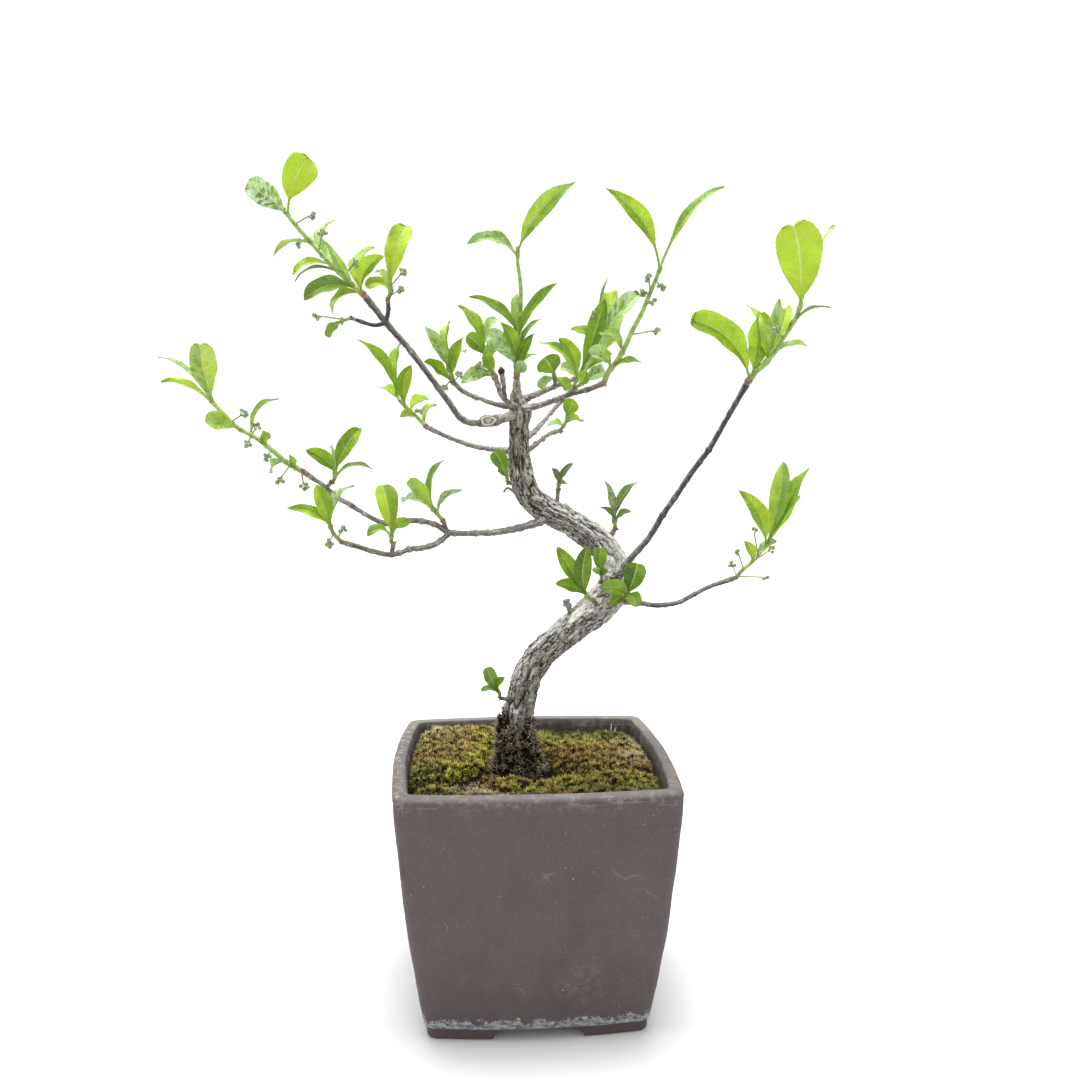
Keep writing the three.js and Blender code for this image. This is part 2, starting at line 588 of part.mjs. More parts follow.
shoot('shoot_high_left', 'highLeft', [
  [-66.5, 271, -5], [-70.5, 275, -4], [-75, 279.5, -3], [-80, 285, -1], [-85, 290.5, 0],
  [-90, 297, 2],
], [1.1, 0.7], [
  [0.95, -103.5, 306, -4, 8.5, 10, 15], [0.95, -80.5, 316, 0, 12.5, 5, 12],
  [0.65, -94.5, 280.5, -12, 6.5, 55, 20], [0.4, -87.5, 274.5, -14, 7, 50, 20],
  [0.3, -87, 272, 5, 6, 60, 20], [0.1, -83.5, 265.5, -15, 8, 30, 25],
  [0.15, -83, 289.5, 9, 7, 40, 20], [0.1, -75, 286, -16, 8, 10, 20],
  [0.05, -58, 284.5, 5, 7, -40, 20], [0.05, -54.5, 281, -16, 6.5, -30, 20],
  [0.5, -72.5, 294, 8, 6, -60, 20], [0.05, -74, 260.5, 6, 6, 60, 25],
], [
  [0.85, -79.5, 296, -3], [0.7, -85.5, 285, 4], [0.25, -64.5, 279, -13], [0.55, -76.5, 290, -8],
]);

shoot('shoot_high_inner', 'highInner', [[-52, 268, -11], [-52, 270.5, -11]], [0.8, 0.6], [
  [0.9, -46, 292.5, -6, 9, -15, 15], [0.7, -61, 270, -18, 5, 50, 20],
  [0.65, -57.5, 275.5, -1, 5, 40, 20],
], [
  [0.95, -47, 276, -17], [0.3, -48, 269.5, -16],
]);

shoot('shoot_high_outer', 'highOuter', [[-68.5, 258, -13], [-70, 257.5, -14]], [0.6, 0.5], [
  [0.9, -75, 251.5, -17, 5, 40, 20],
], [
  [0.7, -80, 259.5, -18],
]);

shoot('shoot_front_left', 'frontLeft', [
  [-30, 238.5, 9], [-31, 241, 8], [-31, 246.5, 7],
], [0.9, 0.6], [
  [0.5, -39.5, 256, 2, 7, 25, 20], [0.95, -30.5, 257.5, 13, 6, -50, 20],
  [0.2, -25.5, 252, 4, 6.5, -25, 20], [0.05, -39.5, 243, 1, 7, 35, 20],
  [0.45, -36.5, 249, 15, 6, 30, 20], [0.6, -24.5, 246.5, 16, 6, -40, 20],
], [
  [0.05, -26.5, 238.5, 3], [0.2, -32.5, 233, 4],
]);

shoot('shoot_crown_left', 'crownLeft', [
  [-15, 240, -10], [-17, 244, -10], [-18, 249, -10],
], [0.9, 0.6], [
  [0.7, -24, 252.5, -15, 7.5, 15, 15], [0.95, -27, 263.5, -7, 6.5, 35, 20],
  [0.15, -17, 247.5, -19, 6, -10, 20], [0.1, -26, 235, -20, 7, 30, 20],
  [0.45, -11.5, 251, -18, 6, -25, 20], [0.9, -13, 259, -9, 6.5, -40, 20],
], [
  [0.2, -20, 241.5, -17],
]);

shoot('shoot_crown', 'crown', [
  [-5.5, 243, 2], [-5.5, 248.5, 3], [-4.5, 254, 4], [-4, 263.5, 5], [-4, 271.5, 6], [-5, 279.5, 7],
  [-5, 284, 7],
], [1.1, 0.6], [
  [0.98, 16.5, 309, 1, 9, -15, 18], [0.95, -23.5, 286.5, 3, 8, 52, 20],
  [0.1, -17.5, 253.5, 2, 9, 10, 15], [0.35, -23, 267, 6, 8, 35, 20],
  [0.3, -5.5, 268.5, 14, 8, -30, 20], [0.3, 10, 272.5, -5, 7.5, -35, 20],
  [0.05, 1, 253.5, -6, 7, -15, 20], [0.05, 2, 246, 9, 5.5, -50, 20],
  [0.05, -2, 241.5, -7, 6, -10, 10], [0.15, -11.5, 257.5, -6, 7, 25, 20],
  [0.2, 3.5, 259, 12, 6.5, -30, 20],
]);

shoot('shoot_right_spur', 'rightSpur', [[8.7, 237.5, 6.5], [8.3, 239, 6]], [0.8, 0.6], [
  [0.8, 5, 244.5, 2, 10, 5, 8], [0.4, 13.5, 232.5, 4, 6, -45, 20], [0.4, 3.5, 233, 3, 5, 45, 20],
]);

shoot('shoot_right_inner', 'rightInner', [
  [19.5, 240.5, 18], [22, 245, 19], [25, 250, 19], [27, 255, 19],
], [1, 0.6], [
  [0.15, 27.5, 266.5, 12, 8.5, -15, 15], [0.05, 10.5, 251.5, 12, 7, 20, 20],
  [0.05, 3.5, 250.5, 24, 6, 40, 20], [0.5, 27.5, 274.5, 24, 6.5, -55, 20],
  [0.75, 41, 268.5, 14, 9, -25, 20], [0.98, 30.5, 269.5, 27, 8, -10, 20],
  [0.7, 15, 255, 25, 6, 40, 20],
], [
  [0.95, 23.5, 261.5, 12],
]);

shoot('shoot_right_tip', 'rightTip', [
  [29, 239, -21], [32.5, 243.5, -22], [35.5, 249, -23], [38, 254.5, -24], [41.5, 261, -25],
  [44, 267, -26], [46.5, 273, -27], [48.5, 278, -28],
], [1.1, 0.7], [
  [0.98, 28, 306.5, -34, 8.5, 20, 18], [0.98, 72, 308.5, -20, 7, -40, 20],
  [0.15, 41.5, 243, -28, 6, -50, 20], [0.15, 22, 246.5, -29, 6.5, 35, 20],
  [0.3, 26.5, 253.5, -14, 6, 45, 20],
], [
  [0.8, 44, 275, -31], [0.7, 46.5, 266, -31], [0.45, 48, 255, -31], [0.9, 49.5, 270, -23],
  [0.75, 41.5, 269.5, -24],
]);

shoot('shoot_right_under', 'rightUnder', [[18, 234.2, -17], [19.5, 235.5, -17.5]], [0.7, 0.6], [
  [0.9, 28, 239, -12, 7, -25, 20], [0.7, 20.5, 239.5, -23, 5.5, -10, 20],
]);

shoot('shoot_back_right', 'backRight', [
  [15, 233, 30], [18.5, 237.5, 32], [23, 243, 34],
], [0.9, 0.6], [
  [0.95, 34.5, 262.5, 28, 11, -20, 18], [0.95, 25, 256, 41, 7, -40, 20],
  [0.55, 11, 241, 34, 6, 40, 20], [0.7, 30.5, 246.5, 38, 7, -40, 20],
]);

shoot('shoot_back_low', 'backLow', [[12.5, 219.5, 26], [13.5, 222.5, 27]], [0.8, 0.6], [
  [0.95, 16, 229, 23, 7, -5, 15], [0.55, 18.5, 221, 32, 6, -45, 20],
  [0.45, 6.5, 219, 31, 5, 50, 20],
]);

shoot('shoot_far_right', 'farRight', [
  [85.5, 239.5, -19], [89, 242.5, -19], [91, 245, -19], [93.5, 248.5, -18], [96, 252.5, -18],
  [98, 255.5, -17], [100.5, 259.5, -17], [102.5, 265, -16],
], [1.2, 0.8], [
  [0.05, 60.5, 259, -26, 10.5, 25, 25], [0.3, 87, 261.5, -14, 8, -15, 20],
  [0.1, 85.5, 261, -29, 7, -35, 25], [0.3, 94, 267, -25, 7, -30, 20],
  [0.45, 97.5, 265, -8, 7, -20, 20], [0.05, 82.5, 265, -6, 7, 50, 20],
  [0.95, 98.5, 295.5, -22, 17, 5, 12], [0.98, 113.5, 295, -7, 9, -60, 20],
  [0.8, 114, 264, -20, 6, -65, 20], [0.4, 105.5, 249.5, -26, 6.5, -55, 20],
], [
  [0.6, 92.5, 255.5, -26],
]);

shoot('shoot_low_right', 'lowRight', [
  [82, 163.5, 30], [85, 166, 31], [88, 169, 32], [91.5, 173.5, 34],
], [1, 0.7], [
  [0.95, 80, 194.5, 29, 8, 15, 20], [0.98, 97, 205.5, 33, 8.5, -10, 20],
  [0.98, 106.5, 203.5, 28, 7.5, -35, 20], [0.95, 104, 192.5, 41, 7, -40, 20],
  [0.5, 82.5, 174.5, 25, 5, 20, 25], [0.6, 95, 175, 36, 5.5, -40, 20],
], [
  [0.7, 86, 179.5, 27], [0.3, 80, 171, 25], [0.1, 77.5, 166.5, 33], [0.5, 94, 172, 26],
  [0.1, 92, 160.5, 23],
]);

shoot('shoot_foot', 'foot', [[-12.5, 116.5, -7], [-14, 118.5, -8]], [0.7, 0.6], [
  [0.8, -17.5, 126.5, -10, 5.5, 10, 12], [0.7, -10.5, 122.5, -12, 3.5, -40, 15],
  [0.5, -19.5, 117.5, -12, 3.5, 50, 15],
]);

shoot('shoot_bend_left', 'bendLeft', [[23, 152.5, -13], [21, 154.5, -14]], [0.8, 0.6], [
  [0.9, 10, 173, -16, 6.5, 15, 20], [0.9, 21.5, 173, -19, 7.5, -5, 20],
  [0.8, 9.5, 159, -17, 6, 35, 20],
]);

shoot('shoot_bend_middle', 'bendMiddle', [[27, 161, -11], [26.5, 163.5, -12]], [0.6, 0.5], [
  [0.85, 26.5, 172.5, -12, 5.5, 0, 12], [0.6, 23.5, 164, -15, 3, 20, 20],
  [0.6, 29, 164, -15, 3, -20, 20],
]);

shoot('shoot_bend_right', 'bendRight', [[36.5, 153.5, -13], [37.5, 155, -14]], [0.7, 0.6], [
  [0.85, 41, 166.5, -15, 8.5, -10, 12], [0.6, 27.5, 157, -20, 6.5, 20, 20],
  [0.85, 40.5, 149.5, -22, 6, -20, 20], [0.4, 31, 150, -20, 5, 30, 20],
]);

shoot('shoot_trunk_left', 'trunkLeft', [[-9.2, 199.5, -2], [-9.5, 201, -2.5]], [0.7, 0.6], [
  [0.9, -14, 209.5, -3, 6.5, 10, 15], [0.65, -11.5, 204, -8, 4, -20, 15],
]);

shoot('shoot_trunk_back', 'trunkBack', [[10.2, 195.5, 9.6], [10.5, 197.5, 10]], [0.7, 0.6], [
  [0.85, 8, 203, 6, 5, 20, 20], [0.95, 16, 205, 12, 5, -20, 20],
  [0.85, 13.5, 197, 4, 3.5, -20, 20],
]);

shoot('shoot_knob', 'knob', [[32, 181.5, 2.6], [31.8, 184, 3]], [0.7, 0.6], [
  [0.85, 28.5, 198, 0, 5.5, 20, 20], [0.9, 40.5, 198, 6, 6, -25, 20],
  [0.75, 26.5, 188, -3, 4, 40, 20], [0.65, 38, 186.5, -3, 5, -40, 20],
]);

// The whole plant

const tree = new THREE.Group();

function addPiece(name, solid, colour, roughness, metalness = 0) {
  const material = new THREE.MeshStandardMaterial({ color: colour, roughness, metalness });
  const mesh = new THREE.Mesh(toGeometry(solid), material);
  mesh.name = name;
  tree.add(mesh);
}

addPiece('pot', makePot(), '#655a58', 0.85);
addPiece('drain_net', makeNet(), '#2a2c2b', 0.6);
addPiece('soil', makeSoil(), '#2e2722', 0.95);
addPiece('moss_collar', makeCollar(), '#3d3320', 0.95);
for (const [name, cushion] of Object.entries(CUSHIONS)) {
  addPiece(name, makeCushion(cushion), cushion.colour, 0.95);
}
addPiece('tree_wood', makeWood(), '#9b9187', 0.9);
for (const [name, solid] of shoots) addPiece(name, solid, '#82ad3a', 0.45);

const bounds = new THREE.Box3().setFromObject(tree);
const middle = bounds.getCenter(new THREE.Vector3());
tree.position.set(-middle.x, -middle.y, -bounds.min.z);

export default tree;
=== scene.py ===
# %% [markdown]
# # A japanese spindle tree bonsai in its pot
#
# A small tree in a square clay pot: a fissured trunk that bends to the right and back, thin
# branches with green shoots, and moss on the soil. Its solid parts come from a CAD frame that fixes
# where everything is. This script grows the fine surfaces over that frame, part by part, and
# removes nothing from the frame but what a finer piece stands for.
#
# Lengths are millimetres until a mesh is made, and the tree stands over the middle of the pot.

import math

import bpy
import mathutils
import numpy as np
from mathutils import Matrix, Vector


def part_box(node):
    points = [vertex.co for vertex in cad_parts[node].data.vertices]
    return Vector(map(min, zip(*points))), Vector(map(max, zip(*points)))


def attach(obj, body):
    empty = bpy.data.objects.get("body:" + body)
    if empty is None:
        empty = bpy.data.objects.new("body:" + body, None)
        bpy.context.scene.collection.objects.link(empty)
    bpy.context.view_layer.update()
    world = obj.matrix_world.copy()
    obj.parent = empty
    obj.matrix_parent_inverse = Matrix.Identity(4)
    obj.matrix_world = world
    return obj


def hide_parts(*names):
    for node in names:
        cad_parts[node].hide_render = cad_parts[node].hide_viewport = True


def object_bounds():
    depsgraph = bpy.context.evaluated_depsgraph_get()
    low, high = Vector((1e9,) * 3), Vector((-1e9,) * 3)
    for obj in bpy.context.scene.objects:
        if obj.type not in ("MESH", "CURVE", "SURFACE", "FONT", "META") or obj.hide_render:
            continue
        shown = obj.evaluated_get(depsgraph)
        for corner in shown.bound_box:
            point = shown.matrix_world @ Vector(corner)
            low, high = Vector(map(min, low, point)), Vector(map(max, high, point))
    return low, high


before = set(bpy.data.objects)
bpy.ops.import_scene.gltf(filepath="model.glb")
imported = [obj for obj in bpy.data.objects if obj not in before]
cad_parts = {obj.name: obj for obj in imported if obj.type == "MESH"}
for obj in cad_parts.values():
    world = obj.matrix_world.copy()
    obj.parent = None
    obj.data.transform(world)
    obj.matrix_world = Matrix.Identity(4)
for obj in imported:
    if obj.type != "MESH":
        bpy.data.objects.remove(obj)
first_low, first_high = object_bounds()
pot_low, pot_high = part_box("pot")
MM = 0.001
HAIR = 0.00001
LOWEST, HIGHEST = np.array(first_low) + HAIR, np.array(first_high) - HAIR
MIDDLE = np.array([(pot_low.x + pot_high.x) / 2, (pot_low.y + pot_high.y) / 2, 0]) / MM
print(len(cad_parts), "CAD nodes, the pot's middle is at", MIDDLE.round(2))

# %% [markdown]
# ## Where things are
#
# Each place on the tree is written as it is seen from in front: x and z on the upright plane
# through the middle of the pot, and then the depth y that it really has. `EYE` is where it is seen
# from. A branch is a row of such places, each with the wood's radius there.

# %% The trunk, the roots and the woody twigs
TRUNK = [(-5, 58, 1, 4), (-6, 68, 0, 7), (-6, 78, 0, 8.3), (-6, 86, 0, 7.5), (-6, 92, 0, 6.9),
    (-6, 100, 0, 6.4), (-5.5, 108, 0, 5.9), (-4, 116, -1, 5.6), (-1.5, 124, -2, 5.6), (3, 131, -3, 5.5),
    (10, 137, -4, 5.5), (17.5, 143, -5, 5.8), (25.5, 149.5, -4, 6.3), (31, 156, -2, 6.1),
    (32.5, 163, 1, 5.8), (30, 170, 4, 5.5), (24, 176.5, 6, 5.3), (14, 183, 7, 4.9), (5, 188, 6, 4.9),
    (-1, 193, 5, 4.8), (-3.5, 200, 3, 4.6), (-4.5, 208, 2, 4.1), (-4.5, 215, 1, 3.7),
    (-4.5, 222, 0, 3.8), (-4.5, 227.5, 0, 3.4)]
ROOTS = [
    [(-6, 80, 0, 5), (-14, 76, -6, 4), (-24, 68, -14, 2.6), (-31, 58, -18, 1.3)],
    [(-6, 80, 0, 5), (-14, 77, 8, 4), (-20, 69, 19, 2.6), (-22, 58, 27, 1.3)],
    [(-6, 80, 0, 5), (3, 77, 7, 4), (13, 69, 16, 2.6), (20, 58, 20, 1.3)],
    [(-6, 80, 0, 5), (2, 76, -7, 4), (12, 68, -16, 2.8), (21, 57, -20, 1.3)],
]
TWIGS = {
    "left": [(8, 185, 6.5, 2), (1, 182, 2.5, 1.7), (-12, 179, -7, 1.4), (-21, 178.5, -11, 1.2),
        (-29, 178.5, -14, 1.2), (-32, 179, -15, 1.5)],
    "left_upper": [(-32, 179, -15, 1.3), (-37, 182, -15, 1.2), (-45, 183.5, -14, 1.1),
        (-55, 182.5, -12, 1.2), (-61, 185, -11, 1), (-69, 190, -9, 1.1), (-73.5, 192.5, -8, 0.9),
        (-77, 196, -7, 1.1), (-84, 201, -6, 0.9)],
    "left_lower": [(-31, 179, -15, 1.3), (-34, 176, -17, 1.2), (-39, 173.5, -20, 1.3),
        (-46, 172.5, -24, 1.1), (-53, 170.5, -28, 1.3), (-59, 171.5, -31, 1), (-65, 173.5, -34, 1),
        (-70, 175, -36, 1.1)],
    "left_inner": [(-77, 196, -7, 0.9), (-75.5, 197.5, -9.5, 0.8)],
    "left_middle": [(-53, 170.5, -28, 0.9), (-52.5, 173.5, -28.5, 0.8)],
    "fork": [(-32, 179, -15, 1), (-33, 182, -15.5, 0.8)],
    "back_left": [(-4, 209, 3, 1.5), (-12, 210, 8, 1.2), (-20, 211, 14, 1), (-26.5, 213, 18, 1),
        (-34, 216, 22, 0.9), (-38, 218, 24, 1.2)],
    "high_left": [(-5, 224, -1, 2), (-10, 222, -5, 1.9), (-14, 221, -7, 2.6), (-17, 220.5, -8, 2.4),
        (-20, 220, -9, 1.4), (-26, 221.5, -11, 1.4), (-31, 228, -12, 1.3), (-38, 237.5, -12, 1.2),
        (-46, 248, -10, 1.3), (-54, 257, -8, 1.6), (-57, 261, -7.5, 1.3), (-61, 266, -6, 1.5)],
    "high_inner": [(-54, 257, -8, 1.1), (-53, 261, -9.5, 0.9), (-53, 264, -10, 0.9)],
    "high_outer": [(-54, 257, -8, 1.1), (-58, 256, -9.5, 0.8), (-62, 257, -11, 0.9),
        (-65, 258, -12, 0.7)],
    "front_left": [(-5, 226, 1, 1.5), (-13, 227, 4, 1.1), (-19, 229, 7, 0.9), (-25, 231.5, 9, 1),
        (-28.5, 234.5, 10, 1)],
    "crown": [(-4.5, 226, 0, 3), (-5.5, 230, 0, 2.4), (-5.5, 233, 0, 1.8), (-5.5, 236, 0, 1.5)],
    "crown_left": [(-6, 226, -3, 1.4), (-11, 230, -7, 1), (-13, 235.5, -9, 1)],
    "cut_stub": [(-10, 229, -6, 1.1), (-10.5, 235, -7, 1), (-11.5, 241, -7.5, 1.1)],
    "right_inner": [(-4, 228.5, 1, 1.7), (0, 230, 4, 1.4), (7, 233, 10, 1.2), (12, 235, 13, 1),
        (16, 236.5, 16, 1.1)],
    "right_spur": [(9, 234, 11.5, 0.9), (9, 235.8, 8.5, 0.8)],
    "right_tip": [(-4, 226, -2, 1.7), (0, 226, -4, 1.4), (7, 228, -8, 1.2), (15, 231, -13, 1.1),
        (22.5, 233, -18, 1), (26, 234.5, -20, 1.3)],
    "right_under": [(15, 231, -13, 0.9), (16, 232.6, -15.5, 0.8)],
    "back_right": [(-4, 214, 2, 1.4), (0, 216, 6, 1.2), (4, 220, 14, 1), (7, 223.5, 20, 0.9),
        (11, 228, 26, 1)],
    "back_low": [(-4, 208, 3, 1.4), (-1, 210, 6, 1.1), (3.5, 213.5, 14, 0.9), (7, 216, 20, 0.9),
        (10, 217, 24, 1)],
    "far_right": [(27, 153, -5, 3), (31, 159, -9, 2.4), (35, 163.5, -11, 1.8), (38, 168, -12, 1.5),
        (45, 176, -13, 1.3), (50.5, 185, -14, 1.6), (56, 193, -15, 1.2), (62, 202, -16, 1.2),
        (68, 210, -17, 1.5), (74, 220.5, -18, 1.1), (80, 231, -19, 1.2), (82, 234.5, -19, 1.5)],
    "low_right": [(28, 151, -2, 2), (35, 151.5, 3, 1.5), (41, 151, 7, 1.2), (49, 150, 12, 1.3),
        (57, 151, 17, 1.1), (62, 153.5, 20, 1.2), (69, 157, 24, 1), (78, 160, 28, 1.3)],
    "foot": [(-5, 113, -1, 1.2), (-11, 114.2, -5.5, 0.8)],
    "bend_left": [(26, 149, -6, 1.2), (24.5, 151.5, -12, 0.8)],
    "bend_middle": [(28.5, 157.5, -5, 1.1), (27.2, 159, -9.8, 0.7)],
    "bend_right": [(31, 151.5, -6, 1.1), (35.5, 152, -11.5, 0.8)],
    "trunk_left": [(-4, 196, 3, 1.1), (-8, 197.5, -0.8, 0.8)],
    "trunk_back": [(9.5, 186, 7, 1.1), (10, 193, 9, 0.8)],
    "knob": [(27.5, 174, 5, 1.6), (31.5, 178.8, 3, 1.1)],
    "dead_low": [(18, 145, -5, 1), (14, 150, -8, 0.8), (13.5, 152.5, -8.5, 1)],
}

# %% [markdown]
# A green shoot grows on from the end of a twig, mostly the one with its name. It has how thick its
# stem is at both ends, the stem's places, its leaves and its flower buds. A leaf is where it leaves
# the stem, its tip, its width, and how far it is turned and folded. A bud is where it leaves and its
# end.

